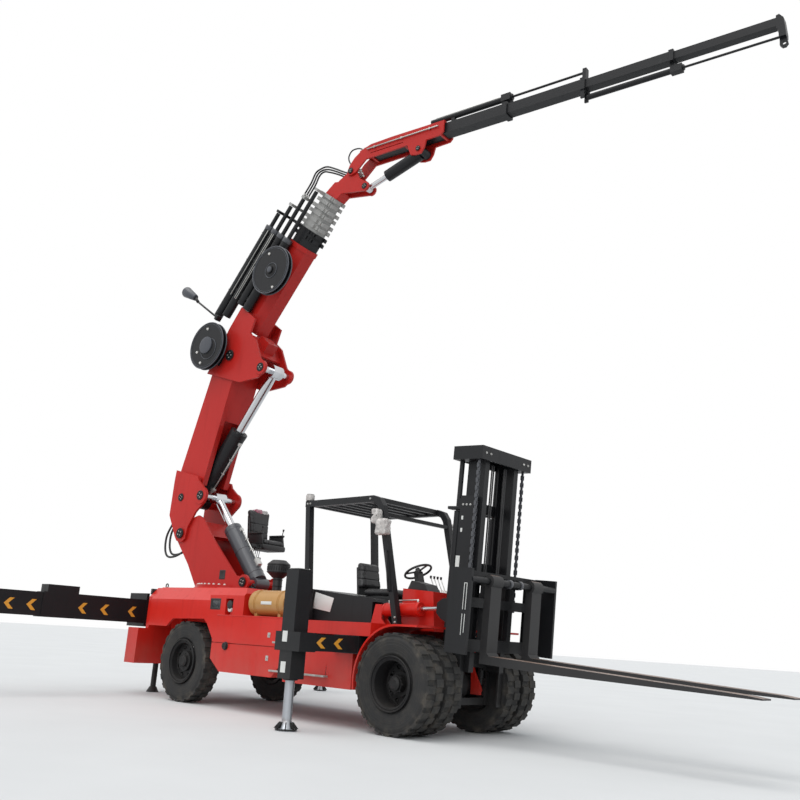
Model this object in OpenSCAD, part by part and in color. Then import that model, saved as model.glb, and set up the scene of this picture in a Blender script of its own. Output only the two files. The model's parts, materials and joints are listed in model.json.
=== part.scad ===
// Heavy forklift truck with a slewing folding crane on its rear deck.
// Millimetres. +X points forward to the forks, +Y to the operator's left, +Z up.
// The origin is on the ground, at the middle of the machine's box in plan.
// The crane is drawn as it works: slewed nearly ahead, boom up, fly jib run out.

/* [Wheels] */
// Position of the drive axle ahead of the middle of the machine's length
axle_x = 1092; // [1000:1:1250]
// Distance from the drive axle back to the steering axle
wheelbase = 4553; // [4450:1:4600]
// Outside diameter of every tyre, over its lugs
tyre_d = 1226; // [1180:1:1240]
// Width of one tyre
tyre_w = 305; // [280:1:320]
// Diameter of the rim seat
rim_d = 640; // [580:1:680]
// Height of the tread lugs
lug_h = 20; // [12:1:26]
// Number of lugs on each shoulder of a tyre
lug_n = 24; // [16:1:28]
// Distance between the outer faces of the outer drive tyres
drive_track_outer = 2292; // [2270:1:2330]
// Centre distance of the two tyres of a dual wheel
dual_pitch = 357; // [345:1:370]
// Distance between the centres of the steered tyres
steer_track = 1844; // [1800:1:1880]
// Steering lock to each side, in degrees
steer_lock = 35; // [10:1:35]

/* [Chassis] */
// Width over the side tanks and the rear deck
body_w = 2200; // [2160:1:2240]
// Height of the rear deck's top above the ground
deck_z = 1760; // [1740:1:1775]
// Height of the side tanks' top above the ground
tank_z = 1350; // [1340:1:1390]
// Ground clearance under the tanks
tank_bottom_z = 520; // [450:1:600]
// Rear end of the deck, from the drive axle
deck_rear_x = -5990; // [-6050:1:-5950]
// Front end of the rear deck, from the drive axle
deck_front_x = -3100; // [-3200:1:-3080]
// Front end of the side tanks, from the drive axle
tank_front_x = -2130; // [-2200:1:-2080]
// Height of the operator's floor above the ground
floor_z = 1330; // [1322:1:1340]
// Width over the frame's side members
frame_w = 900; // [860:1:920]
// Thickness of the frame's side members
frame_t = 40; // [25:1:60]

/* [Operator's place] */
// Width over the posts of the overhead guard
guard_w = 1500; // [1460:1:1540]
// Height of the guard's top above the ground
guard_z = 3075; // [3000:1:3200]
// Side of the guard's square tube
guard_tube = 90; // [70:1:96]
// Width of the engine hood
hood_w = 1220; // [1100:1:1260]
// Height of the engine hood's top above the ground
hood_z = 1700; // [1660:1:1740]
// Diameter of the steering wheel
steering_wheel_d = 420; // [340:1:460]

/* [Mast and forks] */
// Forward lean of the mast as it stands, in degrees
mast_lean = 3.5; // [0:0.5:5]
// Width over the outer mast channels
mast_w = 940; // [900:1:950]
// Height of the outer mast channels above the foot pivot
mast_outer_h = 2480; // [2400:1:2520]
// Height of the inner mast's top above the foot pivot
mast_h = 3130; // [3110:1:3300]
// Depth of the outer mast channels
mast_depth = 220; // [180:1:230]
// Width of one mast channel
channel_w = 95; // [80:1:100]
// Width of the fork carriage
carriage_w = 1900; // [1800:1:2000]
// Height of the fork carriage
carriage_h = 1020; // [980:1:1100]
// Height of the forks' heels above the ground
fork_lift_z = 960; // [940:1:1100]
// Length of one fork from the shank's face to the tip
fork_l = 3400; // [2400:10:3600]
// Width of one fork
fork_w = 220; // [180:1:260]
// Thickness of a fork at its heel
fork_t = 100; // [80:1:110]
// Distance between the forks' centres
fork_pitch = 900; // [860:1:1100]

/* [Outriggers] */
// Height of the middle beam box, outside
mid_beam_h = 230; // [210:1:236]
// Width of the middle beam box along the truck, outside
mid_beam_w = 460; // [430:1:470]
// Distance of each middle leg from the truck's centre line
mid_leg_y = 1980; // [1900:1:2100]
// Height of the rear beam box, outside
rear_beam_h = 420; // [380:1:440]
// Width of the rear beam box along the truck, outside
rear_beam_w = 520; // [480:1:540]
// Distance of each rear leg from the truck's centre line
rear_leg_y = 3850; // [3500:1:3900]
// Diameter of the outrigger legs
leg_d = 120; // [90:1:130]
// Diameter of the outrigger feet
foot_d = 230; // [180:1:260]
// Wall thickness of the outrigger beams and boxes
beam_wall = 12; // [8:1:14]

/* [Crane] */
// Distance of the slewing axis behind the drive axle
slew_x = 4930; // [4900:1:4960]
// Heading of the crane from straight ahead, to the left, in degrees
heading = 5; // [0:1:8]
// Height of the slewing ring's top above the ground
ring_z = 1800; // [1790:1:1810]
// Diameter of the slewing ring
ring_d = 1240; // [1200:1:1260]
// Elevation of the main boom, in degrees
main_angle = 74.5; // [74:0.5:75]
// Elevation of the outer boom, in degrees
outer_angle = 52.7; // [52:0.1:54]
// Elevation of the fly jib, in degrees
jib_angle = -2; // [-4:0.5:1]
// Width of the main boom's box
main_w = 610; // [590:1:630]
// Outside width of the column's side plates
column_w = 740; // [730:1:750]
// Thickness of the crane's load-bearing plates
plate_t = 40; // [30:1:44]
// Outside diameter of the lift cylinder
lift_d = 300; // [260:1:310]
// Outside diameter of the knuckle cylinder
knuckle_d = 320; // [280:1:330]
// Outside diameter of the jib cylinder
jib_cyl_d = 205; // [180:1:210]
// Length of the outer boom's red box
outer_box_l = 1850; // [1800:1:1870]
// Height of the outer boom's profile
outer_h = 500; // [480:1:520]
// Half width of the outer boom's profile
outer_half_w = 250; // [240:1:255]
// Step in from one telescopic section to the next
section_step = 22; // [20:1:24]
// Pitch of the section heads
head_pitch = 240; // [230:1:250]
// Diameter of the hose reels
reel_d = 900; // [800:1:920]
// Side of the jib's first section
jib_side = 190; // [180:1:200]
// Length of each middle jib section that shows
jib_step_l = 1345; // [1300:1:1360]
// Length of the last jib section that shows
jib_tip_l = 1365; // [1340:1:1400]
// Radius of the bore in the hook eye
hook_r = 26; // [20:1:32]

/* [Fits] */
// Radial running clearance of pins in their bores
pin_fit = 0.05; // [0.02:0.01:0.1]
// Clearance between faces that slide past each other
slide_gap = 6; // [5:0.5:7]
// Gap between curved faces that nearly touch
touch_gap = 0.3; // [0.2:0.1:0.5]

/* [Hidden] */
$fn = 48;

red = [0.80, 0.13, 0.09];
dark = [0.09, 0.09, 0.10];
rubber = [0.06, 0.06, 0.065];
grey = [0.30, 0.31, 0.34];
chrome = [0.75, 0.75, 0.75];
pale = [0.62, 0.61, 0.58];
ochre = [0.78, 0.55, 0.24];

function turn2(p, a) = [p[0] * cos(a) - p[1] * sin(a), p[0] * sin(a) + p[1] * cos(a)];
function angle_of(v) = atan2(v[1], v[0]);
function arc(c, r, a0, a1, n) = [for (i = [0 : n]) c + r * [cos(a0 + (a1 - a0) * i / n), sin(a0 + (a1 - a0) * i / n)]];

// Everything is drawn from the drive axle, then moved to stand about the middle of the machine
module truck() translate([axle_x, 0, 0]) children();

// A box between its low and high corners
module block(a, b) translate(a) cube(b - a);

// A bar of a [y, z] outline along +X from x0 to x1
module along_x(pts, x0, x1) translate([x0, 0, 0]) rotate([90, 0, 90]) linear_extrude(x1 - x0) polygon(pts);

// A plate cut to an outline of [x, z] points, between two places across the machine
module slab(pts, y0, y1)
    translate([0, y1, 0]) rotate([90, 0, 0]) linear_extrude(y1 - y0) polygon(pts);

// A round bar across the machine at [x, z], between two places
module bar_y(p, r, y0, y1)
    translate([p[0], y1, p[1]]) rotate([90, 0, 0]) cylinder(r = r, h = y1 - y0);

// A round bar along +X from x0 to x1
module bar_x(r, x0, x1) translate([x0, 0, 0]) rotate([0, 90, 0]) cylinder(r = r, h = x1 - x0);

// A copy on each side of the centre plane
module both_sides() {
    children();
    mirror([0, 1, 0]) children();
}

// The left side for 1, the right side for -1
module side_of(side) mirror([0, side < 0 ? 1 : 0, 0]) children();

// Wheels
wheel_r = tyre_d / 2;
drive_outer_y = drive_track_outer / 2 - tyre_w / 2;
drive_inner_y = drive_outer_y - dual_pitch;
steer_y = steer_track / 2;
core_r = wheel_r - lug_h;
rim_r = rim_d / 2;
hub_r = 150;
spindle_r = 60;

// A tyre across Y, centred at y = 0: a carcass with a ring of lugs on each shoulder
module tyre() {
    lug_w = tyre_w * 0.42;
    color(rubber) {
        rotate([90, 0, 0]) rotate_extrude($fn = 60)
            polygon([
                [rim_r, -tyre_w * 0.36], [rim_r + 45, -tyre_w * 0.47], [rim_r + 120, -tyre_w * 0.5],
                [core_r - 60, -tyre_w * 0.5], [core_r, -tyre_w * 0.42],
                [core_r, tyre_w * 0.42], [core_r - 60, tyre_w * 0.5],
                [rim_r + 120, tyre_w * 0.5], [rim_r + 45, tyre_w * 0.47], [rim_r, tyre_w * 0.36]
            ]);
        for (side = [-1, 1])
            translate([0, side * tyre_w * 0.47 + (side > 0 ? 0 : lug_w), 0])
                rotate([90, 0, 0]) linear_extrude(lug_w) lug_ring(side > 0 ? 0 : 0.5);
    }
}

// The toothed outline of one row of lugs, turned by a share of the lug pitch
module lug_ring(shift) {
    pitch = 360 / lug_n;
    difference() {
        polygon([for (i = [0 : lug_n - 1]) for (k = [[0.00, core_r - 1], [0.05, wheel_r],
            [0.58, wheel_r], [0.63, core_r - 1]])
            k[1] * [cos((i + k[0] + shift) * pitch), sin((i + k[0] + shift) * pitch)]]);
        circle(r = core_r - 20, $fn = 60);
    }
}

// A steel wheel across Y, centred at y = 0, with its disc set in by depth towards +Y
module rim(depth, bore) {
    width = tyre_w - 40;
    color(dark) rotate([90, 0, 0]) difference() {
        union() {
            difference() {
                rotate_extrude($fn = 60)
                    polygon([
                        [rim_r - 30, -width / 2], [rim_r + 14, -width / 2 - 12], [rim_r + 14, -width / 2 - 24],
                        [rim_r - 40, -width / 2 - 12], [rim_r - 50, 0], [rim_r - 40, width / 2 + 12],
                        [rim_r + 14, width / 2 + 24], [rim_r + 14, width / 2 + 12], [rim_r - 30, width / 2],
                        [rim_r - touch_gap, width / 2 - 30], [rim_r - touch_gap, 30 - width / 2]
                    ]);
            }
            translate([0, 0, -depth]) cylinder(r = rim_r - 30, h = 20, center = true, $fn = 60);
            translate([0, 0, -depth]) cylinder(r = hub_r, h = 110, center = true);
        }
        for (i = [0 : 7]) rotate(i * 45 + 22.5) translate([rim_r * 0.68, 0, -depth])
            cylinder(r = 30, h = 40, center = true);
        if (bore > 0) translate([0, 0, -depth]) cylinder(r = bore, h = 112, center = true);
    }
}

module drive_tyres(side) truck()
    for (y = [drive_outer_y, drive_inner_y]) translate([0, side * y, wheel_r]) tyre();
module drive_tyres_l() drive_tyres(1);
module drive_tyres_r() drive_tyres(-1);

drive_disc = 90;
journal_y = drive_inner_y + drive_disc + 60;
module drive_rims(side) truck() side_of(side) translate([0, 0, wheel_r]) color(dark) difference() {
    union() {
        translate([0, drive_outer_y, 0]) rim(-drive_disc, 0);
        translate([0, drive_inner_y, 0]) rim(drive_disc, 0);
        bar_y([0, 0], hub_r, drive_inner_y + drive_disc, drive_outer_y - drive_disc);
        bar_y([0, 0], 105, drive_outer_y - drive_disc, drive_outer_y + 60);
    }
    bar_y([0, 0], spindle_r + pin_fit, drive_inner_y + drive_disc - 60, journal_y);
}
module drive_rims_l() drive_rims(1);
module drive_rims_r() drive_rims(-1);

kingpin_y = steer_y - 190;
steer_disc = 50;
module steer_tyre(side) truck() translate([-wheelbase, side * steer_y, wheel_r]) tyre();
module steer_rim(side) truck() translate([-wheelbase, 0, wheel_r]) side_of(side)
    translate([0, steer_y, 0]) rim(steer_disc, spindle_r + pin_fit);
module steer_tyre_l() steer_tyre(1);
module steer_tyre_r() steer_tyre(-1);
module steer_rim_l() steer_rim(1);
module steer_rim_r() steer_rim(-1);

// Steering knuckle: a kingpin block with the wheel's spindle
knuckle_h = 200;
kingpin_r = 40;
module knuckle(side)
    truck() translate([-wheelbase, 0, wheel_r]) side_of(side) color(dark) {
        difference() {
            union() {
                translate([0, kingpin_y, 0]) cylinder(r = 75, h = knuckle_h, center = true);
                block([-60, kingpin_y, -60], [60, kingpin_y + 90, 60]);
                block([-210, kingpin_y - 30, -45], [0, kingpin_y + 30, -5]);
            }
            translate([0, kingpin_y, 0]) cylinder(r = kingpin_r + pin_fit, h = knuckle_h + 2, center = true);
        }
        bar_y([0, 0], spindle_r, kingpin_y + 89, steer_y + steer_disc + 40);
    }
module knuckle_l() knuckle(1);
module knuckle_r() knuckle(-1);

// Drive axle: the housing, the final drives and the mounts under the frame
module drive_axle() translate([0, 0, wheel_r]) {
    bar_y([0, 0], 130, -drive_inner_y + 160, drive_inner_y - 160);
    bar_y([0, 0], 95, -drive_inner_y - drive_disc + 61, drive_inner_y + drive_disc - 61);
    bar_y([0, 0], spindle_r, 10 - journal_y, journal_y - 10);
    bar_y([0, 0], 235, -110, 110);
    both_sides() block([-110, frame_half - 50, 0], [110, frame_half, rail_z0 - wheel_r]);
}
module axles() truck() color(dark) {
    drive_axle();
    steer_axle();
}

// Steering axle: a beam with a yoke at each end that holds the kingpin
yoke_t = 30;
module steer_axle() translate([-wheelbase, 0, wheel_r]) {
    block([-110, -kingpin_y + 159, -90], [110, kingpin_y - 159, 90]);
    both_sides() {
        for (z = [knuckle_h / 2 + slide_gap, -knuckle_h / 2 - slide_gap - yoke_t])
            block([-85, kingpin_y - 160, z], [85, kingpin_y + 75, z + yoke_t]);
        translate([0, kingpin_y, 0])
            cylinder(r = kingpin_r, h = knuckle_h + 2 * slide_gap + 2 * yoke_t + 2, center = true);
        block([-85, kingpin_y - 160, -knuckle_h / 2 - slide_gap - yoke_t],
            [85, kingpin_y - 100, knuckle_h / 2 + slide_gap + yoke_t]);
    }
    block([-200, -140, 89], [200, 140, rail_z0 - wheel_r]);
}

// Chassis: a ladder frame, narrow between the steered wheels
half_w = body_w / 2;
frame_half = frame_w / 2;
rear_frame_half = 350;
rail_z0 = 830;
rail_z1 = 1090;
module chassis_frame() truck() color(red) {
    both_sides() {
        difference() {
            block([-3700, frame_half - frame_t, rail_z0], [90, frame_half, rail_z1]);
            block([mid_x - mid_beam_w / 2 - touch_gap, 0, mid_z - mid_beam_h / 2 - touch_gap],
                [mid_x + mid_beam_w / 2 + touch_gap, half_w, mid_z + mid_beam_h / 2 + touch_gap]);
        }
        block([deck_rear_x, rear_frame_half - frame_t, rail_z0], [-3560, rear_frame_half, tank_z]);
        block([-3700, rear_frame_half - frame_t, rail_z0], [-3600, frame_half, rail_z1]);
        slab([[-240, 900], [-240, 1060], [90, 1060], [176, 800], [285, 600], [285, 500], [136, 500], [136, 770],
            [60, 870]], 300, 342);
        bar_y(mast_foot, 35 - pin_fit, 300, 430);
    }
    for (x = [deck_rear_x, -5300, -4720, -4440, -3700])
        block([x, -rear_frame_half, rail_z0], [x + 60, rear_frame_half, rail_z1 - 10]);
    for (x = [-2300, -1300, -240])
        block([x, frame_t - frame_half, rail_z0 + 90], [x + 60, frame_half - frame_t, rail_z1 - 30]);
}

// Rear deck over the steered wheels: [rear end, front end, half width, side height, slope] of each length
deck_parts = [
    [deck_rear_x, -5600, 900, 1600, 150],
    [-5600, -3950, half_w, 1560, 190],
    [-3950, deck_front_x, half_w, 1640, 110]
];
skirt_x = -6200;
apron_t = 40;
module rear_body() truck() color(red) {
    difference() {
        for (p = deck_parts) along_x([[-p[2], tank_z], [p[2], tank_z], [p[2], p[3]], [p[2] - p[4], deck_z],
            [p[4] - p[2], deck_z], [-p[2], p[3]]], p[0], p[1]);
        slab([[deck_front_x - 90, deck_z + 1], [deck_front_x + 1, deck_z + 1], [deck_front_x + 1, deck_z - 90]],
            -half_w - 1, half_w + 1);
        for (w = [[-3930, 260, 70], [-3540, 180, -1]]) both_sides()
            block([w[0], half_w - 160, tank_z + w[2]], [w[0] + w[1], half_w + 1, 1590]);
    }
    both_sides() {
        slab([[-5600, 1130], [-5070, 1130], [-4980, 1200], [-4900, 1255], [-wheelbase + 493, 1275],
            [-wheelbase + 493, tank_z + 1],
            [-5600, tank_z + 1]], half_w - apron_t, half_w);
        block([-5990, 350, tank_z - 260], [-5590, 450, tank_z + 1]);
        block([skirt_x, 380, 500], [-5890, half_w, 1075]);
        block([-5990, 350, 1074], [-5900, 900, tank_z + 1]);
        block([rear_x + rear_beam_w / 2, 550, 1080], [-5989, 770, 1570]);
    }
    translate([-slew_x, 0, deck_z - 1]) cylinder(r = ring_d / 2, h = ring_z - deck_z + 1 - touch_gap, $fn = 96);
}

// Hydraulic and fuel tanks down both sides, with a filler on each
steer_x = -wheelbase;
tank_rear_x = steer_x + 763;
filler_x = tank_front_x - 1320;
module side_tanks() truck() color(red) both_sides() {
    difference() {
        slab([[steer_x + 493, tank_z], [steer_x + 493, 1270], [steer_x + 583, 1210], [tank_rear_x, 980],
            [tank_rear_x, 700], [tank_rear_x + 250, tank_bottom_z], [tank_front_x - 200, tank_bottom_z],
            [tank_front_x, 720], [tank_front_x, tank_z]], frame_half, half_w);
        block([tank_rear_x - 100, half_w - 30, 930], [tank_front_x + 10, half_w + 1, 942]);
    }
    translate([filler_x, half_w - 95, tank_z - 1]) cylinder(r = 52, h = 60);
}

// Operator's floor, side rails, sills, drive-wheel fenders, cowl and tilt brackets
cowl_z = 1820;
cowl_half = 430;
function cowl_top(x) = cowl_z - 40 * (x + 520) / 540;
fender_r = 690;
fender_t = 26;
fender_front_x = 340;
fender_in = 495;
tilt_a = [-760, 1520];
tilt_b = [322, 1560];
tilt_y = 560;
tilt_ear = 42;
module front_body() truck() color(red) {
    both_sides() slab(concat(arc([0, wheel_r], fender_r, 190, 92, 14), [[fender_front_x, wheel_r + fender_r],
        [fender_front_x, wheel_r + fender_r + fender_t]], arc([0, wheel_r], fender_r + fender_t, 92, 190, 14)),
        fender_in, half_w);
    difference() {
        floor_and_cowl();
        both_sides() translate([0, fender_in - touch_gap, wheel_r]) rotate([-90, 0, 0])
            cylinder(r = fender_r + fender_t + touch_gap, h = half_w - fender_in + 1, $fn = 180);
        both_sides() block([0, fender_in - touch_gap, wheel_r],
            [fender_front_x, half_w, wheel_r + fender_r + fender_t + touch_gap]);
    }
}
module floor_and_cowl() {
    both_sides() {
        block([tank_front_x, frame_half, 480], [-780, half_w - 50, mid_z - mid_beam_h / 2]);
        block([tank_front_x, half_w - 300, mid_z + mid_beam_h / 2], [-440, half_w, floor_z]);
        for (y = [tilt_y - tilt_ear - 26, tilt_y + tilt_ear + 6])
            slab([[-900, floor_z], [-830, 1590], [-712, 1590], [-706, 1400], [-640, floor_z]], y, y + 20);
        bar_y(tilt_a, 30, tilt_y - tilt_ear - 26, tilt_y + tilt_ear + 26);
    }
    block([tank_front_x, -half_w + 300, floor_z - 30], [-150, half_w - 300, floor_z]);
    slab([[-520, floor_z - 1], [-520, cowl_z], [20, cowl_z - 40], [60, floor_z - 60], [-200, floor_z - 60]],
        -cowl_half, cowl_half);
}

// Engine hood, low over the engine behind the seat
module engine_hood() truck() color(dark) difference() {
    slab([[tank_front_x + 2, floor_z], [tank_front_x + 2, tank_z], [deck_front_x, tank_z], [deck_front_x, 1580],
        [-2420, 1600], [-2330, hood_z + 60], [-2230, hood_top(-2230)], [-860, hood_top(-860)],
        [-820, hood_z - 90], [-820, floor_z]], -hood_w / 2, hood_w / 2);
    both_sides() block([-910, tilt_y - tilt_ear - 33, floor_z - 1], [-819, hood_w / 2 + 1, 1620]);
}
function hood_top(x) = hood_z + 90 - 130 * (x + 2230) / 1370;

// Overhead guard: four leaning posts, a bowed frame and roof bars
guard_half = guard_w / 2;
module guard_side() {
    t = guard_tube;
    slab([[tank_front_x + 1, floor_z], [tank_front_x + t, floor_z], [-2310 + t, guard_z - 1],
        [-2310, guard_z - 1], [tank_front_x + 1, tank_z + 1]],
        guard_half - t, guard_half);
    slab([[-390, floor_z], [-390 + t, floor_z], [-650, guard_z - 330], [-690, guard_z - 150], [-770, guard_z - 40],
        [-890, guard_z], [-890, guard_z - t], [-820, guard_z - 125], [-775, guard_z - 190], [-740, guard_z - 340]],
        guard_half - t, guard_half);
    block([-2310, guard_half - t, guard_z - t], [-889, guard_half, guard_z]);
}
module overhead_guard() truck() color(dark) {
    both_sides() guard_side();
    for (i = [0 : 7])
        block([-2310 + i * 195, -guard_half + guard_tube - 1, guard_z - 70],
            [-2310 + i * 195 + 55, guard_half - guard_tube + 1, guard_z - 5]);
    for (z = [guard_z - 300])
        block([-720, -guard_half + guard_tube - 1, z], [-670, guard_half - guard_tube + 1, z + 50]);
    translate([-2265, -guard_half + 45, guard_z - 1]) cylinder(r = 55, h = 106);
    both_sides() {
        block([-745, guard_half - 1, 2740], [-715, guard_half + 60, 2770]);
        translate([-730, guard_half + 60, 2755]) rotate([0, 90, 0]) cylinder(r = 75, h = 90, center = true);
    }
}

// Operator's seat on the hood
function seat_z(x) = hood_top(x) + touch_gap;
module seat() truck() color(dark) {
    slab([[-1500, seat_z(-1500)], [-1470, hood_z + 120], [-960, hood_z + 90], [-930, seat_z(-930)]], -260, 260);
    slab([[-1650, seat_z(-1650)], [-1501, seat_z(-1501)], [-1550, 2170], [-1600, 2230], [-1670, 2230],
        [-1710, 2170]], -240, 240);
}

// Steering column, wheel and gauge pod
module steering_console() truck() color(dark) {
    slab([[-520, 1560], [-560, 1560], [-665, 2060], [-605, 2090], [-520, 1800]], -60, 60);
    slab([[-480, cowl_top(-480)], [-420, cowl_z + 110], [-180, cowl_z + 60], [-120, cowl_top(-120)]], -380, -120);
    translate([-640, 0, 2085]) rotate([0, -28, 0]) {
        rotate_extrude() translate([steering_wheel_d / 2 - 16, 0]) circle(r = 16, $fn = 16);
        for (a = [0, 120, 240]) rotate(a) translate([0, -14, -8]) cube([steering_wheel_d / 2 - 18, 28, 16]);
        translate([0, 0, -30]) cylinder(r = 50, h = 46);
    }
}

// Pressure vessel lying on the right tank
vessel_r = 190;
vessel_y = -880;
module pressure_vessel() truck() color(ochre) {
    translate([0, vessel_y, tank_z + vessel_r + 5]) {
        bar_x(vessel_r, -3030, -2240);
        bar_x(vessel_r - 50, -3060, -2210);
        bar_x(30, -2211, -2170);
    }
    for (x = [-2950, -2420]) block([x, vessel_y - 120, tank_z], [x + 60, vessel_y + 120, tank_z + 90]);
}

// Engine air pre-cleaner on the deck
module air_cleaner() truck() color(dark) translate([-3330, -300, deck_z]) {
    cylinder(r = 75, h = 300);
    translate([0, 0, 210]) cylinder(r1 = 90, r2 = 175, h = 80);
    translate([0, 0, 289]) cylinder(r = 180, h = 140);
    translate([0, 0, 428]) cylinder(r1 = 180, r2 = 110, h = 60);
}

// Outriggers: the two sides' beams run side by side, each in its own lane of the box
rear_x = deck_rear_x - 190 - rear_beam_w / 2;
rear_z = 1350;
rear_tube_y = 830;
rear_lane = (rear_beam_w - 3 * beam_wall) / 2;
rear_lane_x = (rear_lane + beam_wall) / 2;
rear_stage_w = rear_lane - 2 * touch_gap;
rear_stage_h = rear_beam_h - 2 * beam_wall - 2 * touch_gap;
rear_arm_w = rear_stage_w - 2 * beam_wall - 2 * touch_gap;
rear_arm_h = rear_stage_h - 2 * beam_wall - 2 * touch_gap;
rear_post = 230;
rear_stage_y = [510, 2700];
rear_arm_y = [1850, rear_leg_y - rear_post / 2 + 1];
jack_y = 350;
jack_x = rear_x + 60;
mid_x = -880;
mid_z = 1045;
mid_tube_y = half_w - 10;
mid_lane = (mid_beam_w - 3 * beam_wall) / 2;
mid_lane_x = (mid_lane + beam_wall) / 2;
mid_stage_w = mid_lane - 2 * touch_gap;
mid_stage_h = mid_beam_h - 2 * beam_wall - 2 * touch_gap;
mid_post = 230;
mid_leg_x = -905;

// A hollow beam along Y
module hollow_beam(w, h, y0, y1)
    difference() {
        block([-w / 2, y0, -h / 2], [w / 2, y1, h / 2]);
        block([-w / 2 + beam_wall, y0 - 1, -h / 2 + beam_wall], [w / 2 - beam_wall, y1 + 1, h / 2 - beam_wall]);
    }
// A box along Y with a lane on each side of a middle wall
module lane_box(w, h, y0, y1) {
    lane = (w - 3 * beam_wall) / 2;
    difference() {
        block([-w / 2, y0, -h / 2], [w / 2, y1, h / 2]);
        for (x = [-w / 2 + beam_wall, beam_wall / 2])
            block([x, y0 - 1, -h / 2 + beam_wall], [x + lane, y1 + 1, h / 2 - beam_wall]);
    }
}
module outrigger_boxes() truck() color(dark) {
    translate([rear_x, 0, rear_z]) {
        lane_box(rear_beam_w, rear_beam_h, -rear_tube_y, rear_tube_y);
        both_sides() difference() {
            block([-rear_beam_w / 2 - 25, rear_tube_y - 50, -rear_beam_h / 2 - 45],
                [rear_beam_w / 2, rear_tube_y - 1, rear_beam_h / 2 + 100]);
            block([-rear_beam_w / 2 + 1, rear_tube_y - 51, -rear_beam_h / 2 + 1],
                [rear_beam_w / 2 + 1, rear_tube_y, rear_beam_h / 2 - 1]);
        }
    }
    translate([mid_x, 0, mid_z]) lane_box(mid_beam_w, mid_beam_h, -mid_tube_y, mid_tube_y);
    for (y = [-jack_y, jack_y]) translate([jack_x, y, 0]) {
        translate([0, 0, 640]) cylinder(r = 75, h = rear_z - rear_beam_h / 2 - 639);
        translate([0, 0, 80]) cylinder(r = 48, h = 600);
        cylinder(r1 = 110, r2 = 60, h = 90);
    }
}

// The upright housing that a leg slides in, bored from below
module leg_post(w, z0, z1) difference() {
    block([-w / 2, -w / 2, z0], [w / 2, w / 2, z1]);
    translate([0, 0, z0 - 1]) cylinder(r = leg_d / 2 + touch_gap, h = z1 - z0 - 19);
}
module mid_beam(side) truck() color(dark) side_of(side) {
    translate([mid_x - side * mid_lane_x, 0, mid_z])
        hollow_beam(mid_stage_w, mid_stage_h, 700, mid_leg_y - mid_post / 2 - 29);
    translate([mid_leg_x, mid_leg_y, 0]) leg_post(mid_post, 600, 1910);
    difference() {
        block([mid_x - mid_beam_w / 2, mid_leg_y - mid_post / 2 - 30, mid_z - mid_beam_h / 2],
            [mid_x + mid_beam_w / 2, mid_leg_y + mid_post / 2 + 12, mid_z + mid_beam_h / 2]);
        translate([mid_leg_x, mid_leg_y, 0]) cylinder(r = leg_d / 2 + touch_gap, h = 1800);
    }
}
module rear_beam(side) truck() color(dark) side_of(side) translate([rear_x - side * rear_lane_x, 0, rear_z]) {
    hollow_beam(rear_stage_w, rear_stage_h, rear_stage_y[0], rear_stage_y[1]);
    block([-rear_stage_w / 2, 2100, rear_stage_h / 2 - 1], [rear_stage_w / 2, 2640, rear_stage_h / 2 + 120]);
}
module rear_arm(side) truck() color(dark) side_of(side) translate([rear_x - side * rear_lane_x, 0, 0]) {
    translate([0, 0, rear_z]) hollow_beam(rear_arm_w, rear_arm_h, rear_arm_y[0], rear_arm_y[1]);
    translate([0, rear_leg_y, 0]) leg_post(rear_post, 520, 1700);
}
module mid_beam_l() mid_beam(1);
module mid_beam_r() mid_beam(-1);
module rear_beam_l() rear_beam(1);
module rear_beam_r() rear_beam(-1);
module rear_arm_l() rear_arm(1);
module rear_arm_r() rear_arm(-1);

// A leg standing on its foot
module leg(x, y, top) truck() color(chrome) translate([x, y, 0]) {
    translate([0, 0, 100]) cylinder(r = leg_d / 2, h = top - 100);
    translate([0, 0, 25]) cylinder(r1 = foot_d / 2 - 20, r2 = leg_d / 2, h = 90);
    cylinder(r = foot_d / 2, h = 26);
}
module mid_leg_l() leg(mid_leg_x, mid_leg_y, 1350);
module mid_leg_r() leg(mid_leg_x, -mid_leg_y, 1350);
module rear_leg_l() leg(rear_x - rear_lane_x, rear_leg_y, 1150);
module rear_leg_r() leg(rear_x + rear_lane_x, -rear_leg_y, 1150);

// Mast, drawn upright from its foot pivot and then leaned forward
mast_foot = [240, 560];
mast_half = mast_w / 2;
mast_x0 = 60;
inner_half = mast_half - channel_w - touch_gap;
lift_y = 400;
module mast_frame() translate([mast_foot[0], 0, mast_foot[1]]) rotate([0, mast_lean, 0]) children();
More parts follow.
